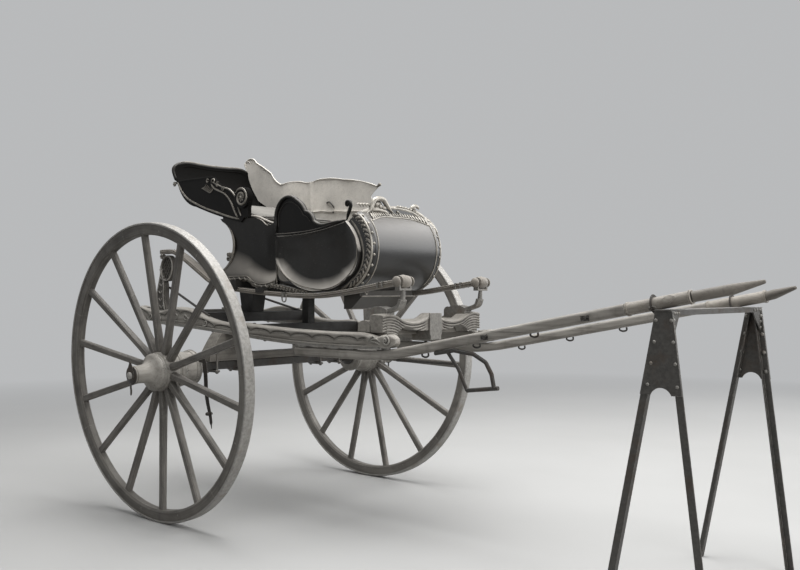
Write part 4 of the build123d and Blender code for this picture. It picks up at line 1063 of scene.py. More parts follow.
rails = Form()
rail_rows = []
stations = [-0.7896 + 0.004 * i for i in range(508)] + [1.2420, 1.2440, 1.2455]
for x in stations:
    top = height_at(rail_top, x)
    low = height_at(rail_low, x)
    tall = top - low
    crown = min(0.014, tall * 0.3)
    slim = 1.0 - 0.5 * max(0.0, (x - 1.190) / 0.056)**2.5
    row = []
    for k in range(26):
        z = low + (tall - crown) * k / 25
        row.append(at(x, -rail_y - (rail_face_y(x, z, top, low) - rail_y) * slim, z))
    for k in range(1, 12):
        a = math.pi * k / 12
        row.append(at(x, -rail_y - rail_half * slim * math.cos(a), top - crown + crown * math.sin(a)**0.8))
    row.append(at(x, -rail_y + rail_half * slim, top - crown))
    row.append(at(x, -rail_y + rail_half * slim, low + 0.5 * (tall - crown)))
    row.append(at(x, -rail_y + rail_half * slim, low))
    rail_rows.append(row)
rails.grid(rail_rows, closed=True, caps=True)
rails.mirrored()
rail_piece = rails.piece("carved_rails", "carriage", "frame_wood", rail_wood, 50)
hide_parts("left_rail", "right_rail")

rail_carving = Form()
face_y = -(rail_y + rail_half)
rail_carving.side_bead(spiral(1.2000, 0.9310, 0.0235, 0.005, 95, -1.35), face_y, 0.0050, 8, 0.12)
rail_carving.dome(at(1.2000, face_y, 0.9310), 0.0065, (0, -1, 0), 0.8, 10)
for leaf in (
    [(1.100, 0.928), (1.122, 0.938), (1.146, 0.938), (1.166, 0.926)],
    [(1.100, 0.924), (1.124, 0.926), (1.146, 0.922), (1.164, 0.912)],
    [(1.092, 0.930), (1.104, 0.944), (1.120, 0.950), (1.136, 0.944)],
):
    rail_carving.side_bead(smooth(leaf, 5), face_y + 0.001, 0.0050, 7, 0.5)
for cx, flip in ((-0.640, 1), (-0.560, -1), (-0.390, 1), (-0.300, -1), (-0.120, 1)):
    cz = (height_at(rail_top, cx) + height_at(rail_low, cx)) / 2 - 0.002
    rail_carving.side_bead(spiral(cx, cz, 0.020, 0.004, 90 + 90 * flip, 1.25 * flip), face_y + 0.002,
                           0.0042, 7, 0.2)
    stem = [(cx - flip * 0.020, cz), (cx - flip * 0.024, cz - 0.012), (cx - flip * 0.010, cz - 0.024),
            (cx + flip * 0.018, cz - 0.026)]
    rail_carving.side_bead(smooth(stem, 5), face_y + 0.002, 0.0040, 7, 0.4)
rail_carving.mirrored()
rail_carving.piece("rail_carving", "carriage", "frame_wood", rail_wood)

# Reeded crossbar: the reeds follow the waved top edge and are cut by the arches
half_top = outline((0.0, 1.050), ((0.010, 1.049), (0.020, 1.044)), ((0.130, 1.012), (0.242, 1.028)),
                   ((0.300, 1.050), (0.372, 1.046)), step=0.006)
half_low = outline((0.0, 0.970), ((0.044, 0.970),), ((0.090, 0.968), (0.150, 0.976)),
                   ((0.205, 0.990), (0.262, 0.967)), ((0.268, 0.954),), ((0.372, 0.950),), step=0.006)
cross_rows = []
for i in range(-124, 125):
    y = 0.003 * i
    top = height_at(half_top, abs(y))
    low = height_at(half_low, abs(y))
    if abs(y) > 0.347:
        low = max(low, 0.9665)
    row = [at(1.066, y, low), at(1.066, y, top - 0.008), at(1.068, y, top - 0.003), at(1.074, y, top)]
    for k in range(1, 8):
        row.append(at(1.074 + 0.064 * k / 8, y, top + 0.0015 * math.sin(math.pi * k / 8)))
    row += [at(1.140, y, top), at(1.1465, y, top - 0.003), at(1.149, y, top - 0.0075)]
    for k in range(45):
        depth = 0.0080 + (top - 0.0080 - low) * k / 44
        reed = abs(math.sin(math.pi * (depth - 0.004) / 0.0128))
        shown = min(1.0, max(0.0, (abs(y) - 0.060) / 0.016))
        row.append(at(1.1496 - 0.0082 * (1 - reed**0.5) * shown - 0.0010, y, top - depth))
    cross_rows.append(row)
cross = Form()
cross.grid(cross_rows, closed=True, caps=True)
beam_rows = []
for i in range(-62, 63):
    y = 0.006 * i
    low = 0.950 if abs(y) <= 0.347 else 0.9665
    row = [at(0.9915, y, low), at(0.9915, y, 0.990)]
    for k in range(9):
        a = math.pi * k / 8
        row.append(at(1.031 - 0.0395 * math.cos(a), y, 0.996 + 0.026 * math.sin(a)))
    row.append(at(1.0705, y, low))
    beam_rows.append(row)
cross.grid(beam_rows, closed=True, caps=True)
cross_piece = cross.piece("reeded_crossbar", "carriage", "frame_wood", cross_wood, 50)
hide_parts("front_crossbar")

# Braces: three layers of leather with stitched edges, a loop round each roller, metal fittings and studs
turn = math.asin((brace_y - standard_y) / (roller[0] - standard[0]))
brace_line = [(-0.738, 1.3925), (-0.690, 1.3935), (-0.620, 1.3915), (-0.560, 1.3730), (-0.478, 1.3360),
              (-0.360, 1.2740), (-0.243, 1.2150), (-0.140, 1.1880), (-0.023, 1.1700), (0.130, 1.1560),
              (0.293, 1.1440), (0.450, 1.1365), (0.600, 1.1325), (0.720, 1.1400), (0.852, 1.1535),
              (1.020, 1.1765), (1.188, 1.2000)]


def on_brace(p, across, lift=0.0):
    """A point of the right brace, which is turned a little in plan about the roller."""
    dx = p[0] - roller[0]
    return at(roller[0] + dx * math.cos(turn) - across * math.sin(turn),
              -(brace_y + dx * math.sin(turn) + across * math.cos(turn)), p[1] + lift)


def along_brace(lift, across):
    """A line along the right brace, lifted off its middle layer and shifted across it."""
    path = []
    for i, p in enumerate(brace_mid):
        ahead = brace_mid[min(i + 1, len(brace_mid) - 1)] - brace_mid[max(i - 1, 0)]
        normal = Vector((-ahead.y, ahead.x)).normalized()
        path.append(on_brace(p + normal * lift, across))
    return path


brace_mid = even(smooth(brace_line, 8), 0.014)
braces = Form()
for lift, width, thick in ((-0.0082, 0.0600, 0.0074), (0.0, 0.0620, 0.0076), (0.0080, 0.0585, 0.0072)):
    braces.sweep(along_brace(lift, 0.0), strap_section(width, thick, 0.3), 1.0, (0, 0, 1))
for r, width in ((0.0185, 0.0610), (0.0248, 0.0595)):
    rows = []
    for k in range(40):
        a = math.tau * k / 39
        c = Vector((math.cos(a), math.sin(a)))
        rows.append([on_brace(Vector(roller) + c * (r + dr), w)
                     for dr, w in ((-0.0029, -width / 2 + 0.001), (-0.0029, width / 2 - 0.001),
                                   (-0.0015, width / 2), (0.0018, width / 2), (0.0030, width / 2 - 0.002),
                                   (0.0072, 0.0), (0.0030, -width / 2 + 0.002), (0.0018, -width / 2),
                                   (-0.0015, -width / 2))])
    braces.grid(rows, closed=True)
for out in (-1, 1):
    cap = at(roller[0], -brace_y + out * 0.0445, roller[1])
    braces.lathe([(0.0240, 0.0), (0.0252, 0.0015), (0.0245, 0.0060), (0.0205, 0.0110), (0.0130, 0.0145),
                  (0.0040, 0.0158), (0.0010, 0.0159)],
                 Matrix(((1, 0, 0, cap.x), (0, 0, out, cap.y), (0, -out, 0, cap.z), (0, 0, 0, 1))), 28)
braces.mirrored()
brace_piece = braces.piece("leather_braces", "carriage", "brace_leather", brace_leather, 50)
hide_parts("left_brace", "right_brace")

brace_thread = Form()
for edge in (-0.0245, 0.0245):
    brace_thread.stitch_row(even(along_brace(0.0118, edge), 0.0075), Vector((0, 0, 0.0006)), 0.0011)
for out in (-1, 1):
    run = [on_brace(p, 0.0312 * out, 0.0033) for p in brace_mid]
    brace_thread.stitch_row(even(run, 0.0095), Vector(), 0.0009)
brace_thread.mirrored()
brace_thread.piece("brace_stitches", "carriage", "brace_leather", thread, 60)

fittings = Form()
ring_mid = [(0.394, 1.140), (0.394, 1.112), (0.402, 1.100), (0.417, 1.100), (0.425, 1.112), (0.425, 1.140)]
path = [on_brace(Vector(p), 0.0345, 0.004) for p in ring_mid]
fittings.bead(smooth(path, 5), 0.0034, (0, 1, 0), 8)
fittings.sweep([on_brace(Vector((0.409, 1.1360)), w, 0.0150) for w in (-0.033, -0.015, 0.015, 0.033)],
               strap_section(0.030, 0.003, 0.3), 1.0, (0, 0, 1))
for w in (-0.0335, 0.0335):
    fittings.sweep([on_brace(Vector((0.409, 1.1360)), w, v) for v in (-0.0110, 0.0, 0.0155)],
                   strap_section(0.0030, 0.030, 0.3), 1.0, (0, 1, 0))
for keeper_x in (1.105, 1.075):
    z = height_at([tuple(p) for p in brace_mid], keeper_x)
    fittings.sweep([on_brace(Vector((keeper_x, z)), w, 0.0132) for w in (-0.0325, 0.0, 0.0325)],
                   strap_section(0.014, 0.0024, 0.3), 1.0, (0, 0, 1))
    for w in (-0.0325, 0.0325):
        fittings.sweep([on_brace(Vector((keeper_x, z)), w, v) for v in (-0.0125, 0.0, 0.0138)],
                       strap_section(0.0024, 0.014, 0.3), 1.0, (0, 1, 0))
for k in range(7):
    for out in (-1, 1):
        x = -0.722 + 0.020 * k
        z = height_at([tuple(p) for p in brace_mid], x)
        fittings.dome(on_brace(Vector((x, z)), out * 0.022, 0.0116), 0.0042, (0, 0, 1), 0.6, 8)
fittings.mirrored()
fittings.piece("brace_fittings", "carriage", "dark_iron", plate_iron)

# Shaped spokes: square shoulder at the nave, slim throat, broad foot in the rim
for side, label, first_deg in ((-1, "right", 92.3), (1, "left", -2.0)):
    outward = Vector((0, side * math.cos(camber), -math.sin(camber)))
    lift = Vector((0, side * math.sin(camber), math.cos(camber)))
    hub = at(0, side * track_half, axle_z)
    spokes = Form()
    for number in range(spoke_count):
        a = math.radians(first_deg + number * 360 / spoke_count)
        along = Vector((math.cos(a), 0, 0)) + lift * math.sin(a)
        across = outward.cross(along)
        rows = []
        for r, w, d in ((0.0985, 0.0180, 0.0200), (0.135, 0.0180, 0.0200), (0.152, 0.0176, 0.0192),
                        (0.175, 0.0166, 0.0176), (0.215, 0.0162, 0.0165), (0.300, 0.0164, 0.0158),
                        (0.400, 0.0168, 0.0150), (0.500, 0.0172, 0.0143), (0.580, 0.0176, 0.0138),
                        (0.630, 0.0180, 0.0136), (0.662, 0.0182, 0.0136), (0.6876, 0.0182, 0.0136)):
            c = hub + along * r + outward * (-0.051 + 0.0847 * (r - 0.086))
            rows.append([c + across * (w * u) + outward * (d * v) for u, v in (
                (-1.0, -0.55), (-0.74, -1.0), (0.0, -1.06), (0.74, -1.0), (1.0, -0.55), (1.0, 0.55),
                (0.74, 1.0), (0.0, 1.06), (-0.74, 1.0), (-1.0, 0.55))])
        spokes.grid(rows, closed=True, caps=True)
    spoke_piece = spokes.piece(label + "_shaped_spokes", label + "_wheel", "wheel_wood", spoke_wood[side], 32)
    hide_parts(label + "_spokes")

    # Turned nave: ringed bell at the spokes, hollow flare and a long plain neck outside
    turn_up = Matrix((
        (1, 0, 0, hub.x), (0, lift.y, outward.y, hub.y), (0, lift.z, outward.z, hub.z), (0, 0, 0, 1)))
    nave = Form()
    bell = smooth([(0.0940, 0.0040), (0.0925, 0.0100), (0.0850, 0.0175), (0.0720, 0.0255), (0.0590, 0.0350),
                   (0.0510, 0.0470), (0.0468, 0.0620), (0.0448, 0.0800), (0.0440, 0.1000),
                   (0.0440, 0.1195)], 3)
    nave.lathe([(0.0245, -0.2350), (0.0800, -0.2350), (0.0890, -0.2320), (0.0900, -0.2270), (0.0900, -0.2080),
                (0.0888, -0.2050), (0.0840, -0.2030), (0.0848, -0.1900), (0.0860, -0.1750), (0.0885, -0.1550),
                (0.0915, -0.1360), (0.0895, -0.1345), (0.0920, -0.1325), (0.0920, -0.1225), (0.0975, -0.1185),
                (0.0985, -0.1165), (0.0985, -0.1060), (0.0975, -0.1040), (0.0925, -0.1005), (0.0920, -0.0890),
                (0.0980, -0.0840), (0.0985, -0.0800), (0.0985, -0.0225), (0.0965, -0.0190), (0.0905, -0.0165),
                (0.0900, -0.0140), (0.0935, -0.0115), (0.0940, -0.0090), (0.0930, -0.0062), (0.0900, -0.0045),
                (0.0905, -0.0020), (0.0938, 0.0005)] + [(p.x, p.y) for p in bell]
               + [(0.0436, 0.1228), (0.0420, 0.1245), (0.0350, 0.1245), (0.0335, 0.1230), (0.0330, 0.1120),
                  (0.0245, 0.1115)], turn_up, 72)
    nave_piece = nave.piece(label + "_turned_nave", label + "_wheel", "wheel_wood", nave_wood[side])
    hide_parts(label + "_nave")
    bands = Form()
    for r, low, high, thick in ((0.0900, -0.2270, -0.2200, 0.0020), (0.0440, 0.1130, 0.1180, 0.0012)):
        bands.ring([(r - 0.0008, low), (r + thick * 0.7, low), (r + thick, low + 0.0012),
                    (r + thick, high - 0.0012), (r + thick * 0.7, high), (r - 0.0008, high)], turn_up, 72)
    for k in range(spoke_count):
        a = math.radians(first_deg + (k + 0.5) * 360 / spoke_count)
        for across_z in (-0.0245, 0.0245):
            c = hub + Vector((math.cos(a) * nail_ring_r, 0, 0)) + lift * (math.sin(a) * nail_ring_r)
            c = c + outward * across_z * 0.985
            bands.dome(c, 0.0045, outward * (1 if across_z > 0 else -1), 0.45, 8)
    bands.piece(label + "_rim_nails", label + "_wheel", "tyre_iron", plate_iron)

    # Axle arm with its collars and washer; outside, a leaf-shaped linchpin with a ball boss and a tail
    arm = Form()
    arm.lathe([(0.030, -0.300), (0.036, -0.297), (0.041, -0.276), (0.0515, -0.262), (0.0520, -0.256),
               (0.0480, -0.252), (0.0480, -0.250), (0.0520, -0.246), (0.0520, -0.2406), (0.0238, -0.2404),
               (0.0238, 0.1256), (0.0440, 0.1260), (0.0465, 0.1268), (0.0465, 0.1282), (0.0440, 0.1292),
               (0.0290, 0.1296), (0.0270, 0.1310), (0.0150, 0.1314)], turn_up, 48)
    arm.piece(label + "_axle_arm", "carriage", "dark_iron", dark_iron)
    pin = Form()
    leaf_rows = []
    for h, half, thick in ((-0.0480, 0.0060, 0.0022), (-0.0400, 0.0150, 0.0030), (-0.0200, 0.0240, 0.0034),
                           (0.0, 0.0270, 0.0036), (0.0200, 0.0250, 0.0036), (0.0400, 0.0190, 0.0034),
                           (0.0560, 0.0115, 0.0030), (0.0660, 0.0060, 0.0026), (0.0720, 0.0018, 0.0020)):
        c = hub + outward * 0.1318 + lift * h
        leaf_rows.append([c + Vector((half * u, 0, 0)) + outward * (thick * v) for u, v in (
            (-1.0, -0.3), (-0.85, -0.6), (0.85, -0.6), (1.0, -0.3), (1.0, 0.3), (0.8, 0.8), (0.25, 1.0),
            (-0.25, 1.0), (-0.8, 0.8), (-1.0, 0.3))])
    pin.grid(leaf_rows, closed=True, caps=True)
    tail = [hub + outward * (0.1325 + s) + lift * h for h, s in
            ((-0.0380, 0.0), (-0.0560, 0.0020), (-0.0760, 0.0005), (-0.0990, 0.0030))]
    pin.bead(smooth(tail, 5), 0.0048, (1, 0, 0), 8, 0.2)
    pin.piece(label + "_linchpin_leaf", "carriage", "dark_iron", dark_iron)
    ball = Form()
    ball.lathe([(0.0100, 0.1330), (0.0165, 0.1345), (0.0172, 0.1362), (0.0150, 0.1372), (0.0168, 0.1388),
                (0.0172, 0.1405), (0.0160, 0.1428), (0.0130, 0.1448), (0.0080, 0.1463), (0.0015, 0.1469)],
               turn_up, 32)
    ball.piece(label + "_axle_ball", "carriage", "dark_iron", ball_iron)
axle_bed = Form()
axle_bed.box((-0.023, -0.545, 0.7415), (0.023, 0.545, 0.7872), 0.004)
bed_piece = axle_bed.piece("axle_bed", "carriage", "dark_iron", dark_iron)
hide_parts("axle", "linchpins")


# Carved strip under the body, between the barrel's belly and the brace
strip = Form()
strip_line = even(smooth([(0.262, 1.187), (0.340, 1.176), (0.418, 1.163), (0.493, 1.154), (0.585, 1.150)],
                         6), 0.006)
strip.side_bead([(p.x, p.y + 0.008) for p in strip_line], -0.2745, 0.0045, 8, 0.05)
for k in range(12):
    p = strip_line[2 + k * 4]
    strip.side_bead(spiral(p.x, p.y, 0.0095, 0.002, 180 * (k % 2), 1.2 if k % 2 else -1.2), -0.2790,
                    0.0038, 7, 0.25)
    leaf = [(p.x + 0.006, p.y + 0.003), (p.x + 0.013, p.y + 0.010), (p.x + 0.022, p.y + 0.009)]
    strip.side_bead(smooth(leaf, 4), -0.2775, 0.0042, 7, 0.5)
strip.mirrored()
strip.piece("belly_carving", "carriage", "body_lacquer", trim_gilt)

# Seat cushion: crowned cloth form, blown up a little by simulation, with a piped edge
cushion_top = outline((-0.238, 1.670), ((-0.100, 1.628), (0.060, 1.588)), ((0.180, 1.572), (0.258, 1.567)),
                      step=0.02)
cushion_low = outline((-0.246, 1.6245), ((-0.150, 1.598), (0.046, 1.551)), ((0.058, 1.5185),),
                      ((0.258, 1.5185),), step=0.02)
cushion = Form()
cushion_rows = []
for i in range(27):
    x = -0.240 + 0.497 * i / 26
    low = height_at(cushion_low, x) + 0.003
    top = height_at(cushion_top, x) - 0.004
    pinch = 1 - abs(2 * i / 26 - 1)**8
    mid = (low + top) / 2
    half_tall = (top - low) / 2 * (0.35 + 0.65 * pinch)
    row = []
    for k in range(40):
        a = math.tau * k / 40
        c = signed_power(math.cos(a), 0.30)
        s = signed_power(math.sin(a), 0.55)
        row.append(at(x, 0.224 * c * (0.97 + 0.03 * pinch), mid + half_tall * s * (1 - 0.35 * abs(c)**6)))
    cushion_rows.append(row)
cushion.grid(cushion_rows, closed=True, caps=True)
cushion_piece = cushion.piece("padded_cushion", "carriage", "cushion", cushion_leather, 60)
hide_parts("seat_cushion")


def evaluated_mesh(obj):
    """The mesh that the modifiers make of an object."""
    graph = bpy.context.evaluated_depsgraph_get()
    return bpy.data.meshes.new_from_object(obj.evaluated_get(graph))


def blow_up(obj, cap):
    """Remeshes a soft form and lets a cloth simulation fill it; no point moves further than the cap."""
    remesh = obj.modifiers.new("remesh", "REMESH")
    remesh.mode = "VOXEL"
    remesh.voxel_size = 0.006
    start = evaluated_mesh(obj)
    obj.modifiers.remove(remesh)
    looks = list(obj.data.materials)
    obj.data = start
    obj.data.materials.clear()
    for look in looks:
        obj.data.materials.append(look)
    rest = [v.co.copy() for v in obj.data.vertices]
    cloth = obj.modifiers.new("cloth", "CLOTH")
    cloth.settings.use_pressure = True
    cloth.settings.uniform_pressure_force = 4.0
    cloth.settings.effector_weights.gravity = 0.0
    cloth.settings.quality = 5
    cloth.point_cache.frame_start = 1
    cloth.point_cache.frame_end = 20
    for number in range(1, 21):
        scene.frame_set(number)
    blown = evaluated_mesh(obj)
    obj.modifiers.remove(cloth)
    for v, old in zip(blown.vertices, rest):
        move = v.co - old
        if move.length > cap:
            v.co = old + move * (cap / move.length)
    obj.data = blown
    scene.frame_set(1)
    divide = obj.modifiers.new("divide", "SUBSURF")
    divide.levels = 1
    divide.render_levels = 1
    final = evaluated_mesh(obj)
    obj.modifiers.remove(divide)
    obj.data = final
    obj.data.shade_smooth()


blow_up(cushion_piece, 0.006)
piping = Form()
for level in (-0.010, 0.010):
    ring = []
    for k in range(81):
        a = math.tau * k / 80
        c = signed_power(math.cos(a), 0.30)
        s = signed_power(math.sin(a), 0.30)
        x = 0.0085 + 0.2485 * s
        low = height_at(cushion_low, x)
        top = height_at(cushion_top, x)
        ring.append(at(x, 0.2235 * c, (low + top) / 2 + level * 0.9 + 0.002))
    piping.bead(ring, 0.0032, (0, 0, 1), 8)
piping.piece("cushion_piping", "carriage", "cushion", strap_leather, 60)

# Rear standards: a carved post with an upright oval scroll, latticed inside
ring_x = -0.690
ring_z = 1.2950
posts = Form()
drapes = Form()
post_rear = smooth([(-0.772, 1.0455), (-0.789, 1.090), (-0.790, 1.150), (-0.775, 1.210), (-0.762, 1.260),
                    (-0.760, 1.310)], 5)
post_front = smooth([(-0.690, 1.0455), (-0.702, 1.090), (-0.708, 1.140), (-0.706, 1.190), (-0.718, 1.240),
                     (-0.738, 1.300)], 5)
rows = []
for i, (rear, front) in enumerate(zip(post_rear, post_front)):
    t = i / (len(post_rear) - 1)
    deep = 0.0215 - 0.006 * t
    hollow = 0.004 * math.sin(math.pi * t)
    mid = rear.lerp(front, 0.5)
    row = []
    for p, out in ((rear, 0.75), (rear.lerp(front, 0.12), 1.0), (rear.lerp(front, 0.30), 1.0),
                   (mid, 1.0 - hollow / deep), (rear.lerp(front, 0.70), 1.0), (rear.lerp(front, 0.88), 1.0),
                   (front, 0.75)):
        row.append(at(p.x, -standard_y - deep * out, p.y))
    row += [Vector((p.x, -2 * standard_y - p.y, p.z)) for p in reversed(row)]
    rows.append(row)
posts.grid(rows, closed=True, caps=True)
oval = []
for k in range(49):
    a = math.tau * k / 48
    oval.append((ring_x + 0.0535 * math.cos(a) + 0.006 * math.sin(a), ring_z + 0.0690 * math.sin(a)))
posts.sweep(side_line(oval, -standard_y), [(-0.0085, -0.0150), (0.0060, -0.0150), (0.0085, -0.0100),
                                           (0.0085, 0.0100), (0.0060, 0.0150), (-0.0085, 0.0150)], 1.0, (0,
                                           1, 0))
posts.relief([(ring_x + 0.0500 * math.cos(a), ring_z + 0.0655 * math.sin(a))
              for a in [math.tau * k / 40 for k in range(40)]], (ring_x,
                                                                 ring_z), lambda d, q: 0.0040, -0.0040,
             lambda x, z, h: at(x, -standard_y - h, z))
for face in (-1, 1):
    y = -standard_y + face * 0.0065
    for k in range(-3, 4):
        for lean in (-1, 1):
            line = []
            for s in range(-8, 9):
                x = 0.018 * k + 0.0085 * s * 0.6
                z = lean * 0.0095 * s
                if (x / 0.0485)**2 + (z / 0.0635)**2 < 1:
                    line.append(at(ring_x + x, y, ring_z + z))
            if len(line) > 2:
                posts.bead(line, 0.0024, (0, 1, 0), 6)
    y = -standard_y + face * 0.0155
    edge = [(ring_x + 0.0575 * math.cos(a) + 0.006 * math.sin(a), ring_z + 0.0730 * math.sin(a))
            for a in [math.tau * k / 48 for k in range(49)]]
    drapes.side_bead(edge, y, 0.0046, 7)
    leaf_rear = [p + Vector((0.012, 0)) for p in post_rear]
    drapes.bead([at(p.x, -standard_y + face * (0.0215 - 0.006 * i / 25), p.y) for i,
                 p in enumerate(leaf_rear)],
                0.0042, (0, 1, 0), 7, 0.05)
    leaf_front = [p - Vector((0.010, 0)) for p in post_front]
    drapes.bead([at(p.x, -standard_y + face * (0.0215 - 0.006 * i / 25), p.y) for i,
                 p in enumerate(leaf_front)],
                0.0042, (0, 1, 0), 7, 0.05)
    for k in range(6):
        i = 2 + 4 * k
        root = post_front[i].lerp(post_rear[i], 0.5)
        y = -standard_y + face * (0.0195 - 0.005 * i / 25)
        for way in (-1, 1):
            leaf = [at(root.x, y, root.y), at(root.x + way * 0.010, y, root.y + 0.008),
                    at(root.x + way * 0.018, y, root.y + 0.019)]
            drapes.bead(smooth(leaf, 3), 0.0044, (0, 1, 0), 7, 0.5)
curl_path = [(-0.728, 1.358), (-0.738, 1.372), (-0.752, 1.377), (-0.762, 1.368), (-0.756, 1.358),
             (-0.746, 1.361)]
drapes.side_bead(smooth(curl_path, 5), -standard_y, 0.0075, 9, 0.2, 1.6)
foot = [(-0.800, 1.052), (-0.780, 1.0465), (-0.730, 1.0460), (-0.680, 1.0465), (-0.662, 1.051)]
posts.sweep(side_line(smooth(foot, 4), -standard_y), strap_section(0.044, 0.009, 0.3), 1.0, (0, 0, 1))
posts.mirrored()
drapes.mirrored()
drapes.piece("standard_drapes", "carriage", "frame_wood", drape_wood)
post_piece = posts.piece("carved_standards", "carriage", "frame_wood", post_wood)
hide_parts("left_rear_standard", "right_rear_standard")

# Shaft sleeves: bound ends, a laced seam below and a stitched diamond; a buckled strap round each
shaft_bend_x = 1.160
shaft_low_z = 0.861
shaft_draw_in = 0.015
sleeve_end_x = 2.610
rise = (1.1147 - shaft_low_z) / (2.504 - shaft_bend_x)


def shaft_z(x):
    return shaft_low_z + rise * (x - shaft_bend_x)


def shaft_y(x):
    return rail_y - shaft_draw_in * (x - shaft_bend_x) / (sleeve_end_x - shaft_bend_x)


def round_shaft(x, angle, r):
    """A point on the sleeve's skin: the angle runs from the outer side over the top."""
    a = math.radians(angle)
    return at(x - rise * r * math.sin(a), -shaft_y(x) - r * math.cos(a), shaft_z(x) + r * math.sin(a))


bindings = Form()
for x in (2.3640, 2.6035):
    for shift in (0.0, 0.0055):
        bindings.bead([round_shaft(x + shift, a, 0.0240) for a in range(0, 361, 12)], 0.0024, (1, 0, 0), 8)
bindings.mirrored()
bindings.piece("sleeve_bindings", "carriage", "brace_leather", sleeve_leather)
sleeves = Form()
for k in range(22):
    x = 2.376 + 0.0098 * k
    if not 2.500 < x < 2.560:
        sleeves.bead([round_shaft(x, a, 0.0243) for a in (-62, -52, -42)], 0.0012, (1, 0, 0), 5, 0.3)
        sleeves.bead([round_shaft(x + 0.005, a, 0.0243) for a in (-42, -52, -62)], 0.0012, (1, 0, 0), 5, 0.3)
diamond = [(2.505, 18), (2.532, 62), (2.561, 20), (2.536, -22), (2.505, 18)]
for scale in (1.0, 0.72):
    cx, ca = 2.5335, 20
    for (x0, a0), (x1, a1) in zip(diamond, diamond[1:]):
        for k in range(6):
            t0 = k / 6
            t1 = t0 + 0.11
            ends = []
            for t in (t0, (t0 + t1) / 2, t1):
                x = cx + (x0 + (x1 - x0) * t - cx) * scale
                ends.append(round_shaft(x, ca + (a0 + (a1 - a0) * t - ca) * scale, 0.0244))
            sleeves.bead(ends, 0.0013, (1, 0, 0), 5, 0.3)
sleeves.mirrored()
sleeves.piece("sleeve_stitches", "carriage", "brace_leather", thread, 60)

shaft_straps = Form()
shaft_straps.sweep([round_shaft(2.468, a, 0.0262) for a in range(-100, 261, 12)],
                   strap_section(0.020, 0.0030, 0.3), 1.0, (1, 0, 0))
tongue = [(2.462, -62), (2.478, -68), (2.496, -74), (2.512, -80)]
shaft_straps.sweep([round_shaft(x, a, 0.0285) for x, a in tongue], strap_section(0.014, 0.0026, 0.3), 1.0,
                   (0, 0, 1))
shaft_straps.mirrored()
shaft_straps.piece("shaft_straps", "carriage", "brace_leather", strap_leather)
strap_metal = Form()
loop = [round_shaft(x, a, 0.0285) for x, a in ((2.457, -20), (2.457, -50), (2.479, -50), (2.479, -20),
                                               (2.457, -20))]
strap_metal.bead(even(smooth(loop, 5), 0.003), 0.0019, (0, 1, 0), 6)
strap_metal.mirrored()
strap_metal.piece("shaft_buckles", "carriage", "dark_iron", plate_iron)

# Small irons: loops and hooks on the shafts, nuts under the rails and bolt heads on top of them
shaft_irons = Form()
for x in (1.403, 1.679, 1.960):
    z = shaft_z(x) - 0.0225
    y = -shaft_y(x)
    loop = [at(x - 0.017, y, z + 0.002), at(x - 0.017, y, z - 0.011), at(x, y, z - 0.0165),
            at(x + 0.017, y, z - 0.011), at(x + 0.017, y, z + 0.002)]
    shaft_irons.bead(smooth(loop, 5), 0.0042, (0, 1, 0), 8)
for x in (1.735, 2.200):
    y = -shaft_y(x) - 0.0245
    z = shaft_z(x)
    hook = [at(x, y + 0.002, z - 0.006), at(x + 0.004, y - 0.012, z - 0.004),
            at(x + 0.016, y - 0.016, z + 0.002), at(x + 0.024, y - 0.014, z + 0.012)]
    shaft_irons.bead(smooth(hook, 5), 0.0040, (0, 0, 1), 8, 0.2)
    shaft_irons.sweep([at(x - 0.018, y, z - 0.007), at(x, y - 0.0008, z - 0.006),
                       at(x + 0.018, y, z - 0.005)],
                      strap_section(0.0032, 0.020, 0.3), 1.0, (0, 0, 1))
for x in (-0.520, -0.320, -0.090, 0.120, 0.340, 0.560, 0.780, 0.980, 1.130):
    z = height_at(rail_low, x) - 0.0135
    shaft_irons.dome(at(x, -rail_y, z), 0.0100, (0, 0, -1), 0.8, 6)
for x in (-0.700, -0.240, 0.255):
    shaft_irons.dome(at(x, -rail_y, height_at(rail_top, x) - 0.001), 0.0100, (0, 0, 1), 0.5, 12)
shaft_irons.mirrored()
shaft_irons.piece("shaft_and_rail_irons", "carriage", "dark_iron", dark_iron)

# Rivets of the trestle plates and corner gussets
rivets = Form()
plate_out = trestle_y + 0.0054
for side in (-1, 1):
    for x, z in ((2.506, 1.052), (2.564, 1.052), (2.500, 0.976), (2.571, 0.976), (2.487, 0.900),
                 (2.578, 0.900), (2.474, 0.824), (2.585, 0.820)):
        rivets.dome(at(x, side * plate_out, z), 0.0068, (0, side, 0), 0.75, 12)
        rivets.dome(at(x, side * (trestle_y - 0.0050), z), 0.0085, (0, -side, 0), 0.75, 12)
    reach = 0.060 if side < 0 else 0.103
    front = trestle_x + 0.0312
    spots = [(side * (0.423 - reach * t), 1.0775) for t in (0.16, 0.44, 0.72)]
    spots += [(side * 0.4165, 1.0775 - 0.024 * k) for k in (1, 2, 3)]
    for y, z in spots:
        rivets.dome(at(front, y, z), 0.0062, (1, 0, 0), 0.7, 10)
rivets.piece("trestle_rivets", "carriage", "dark_iron", plate_iron)

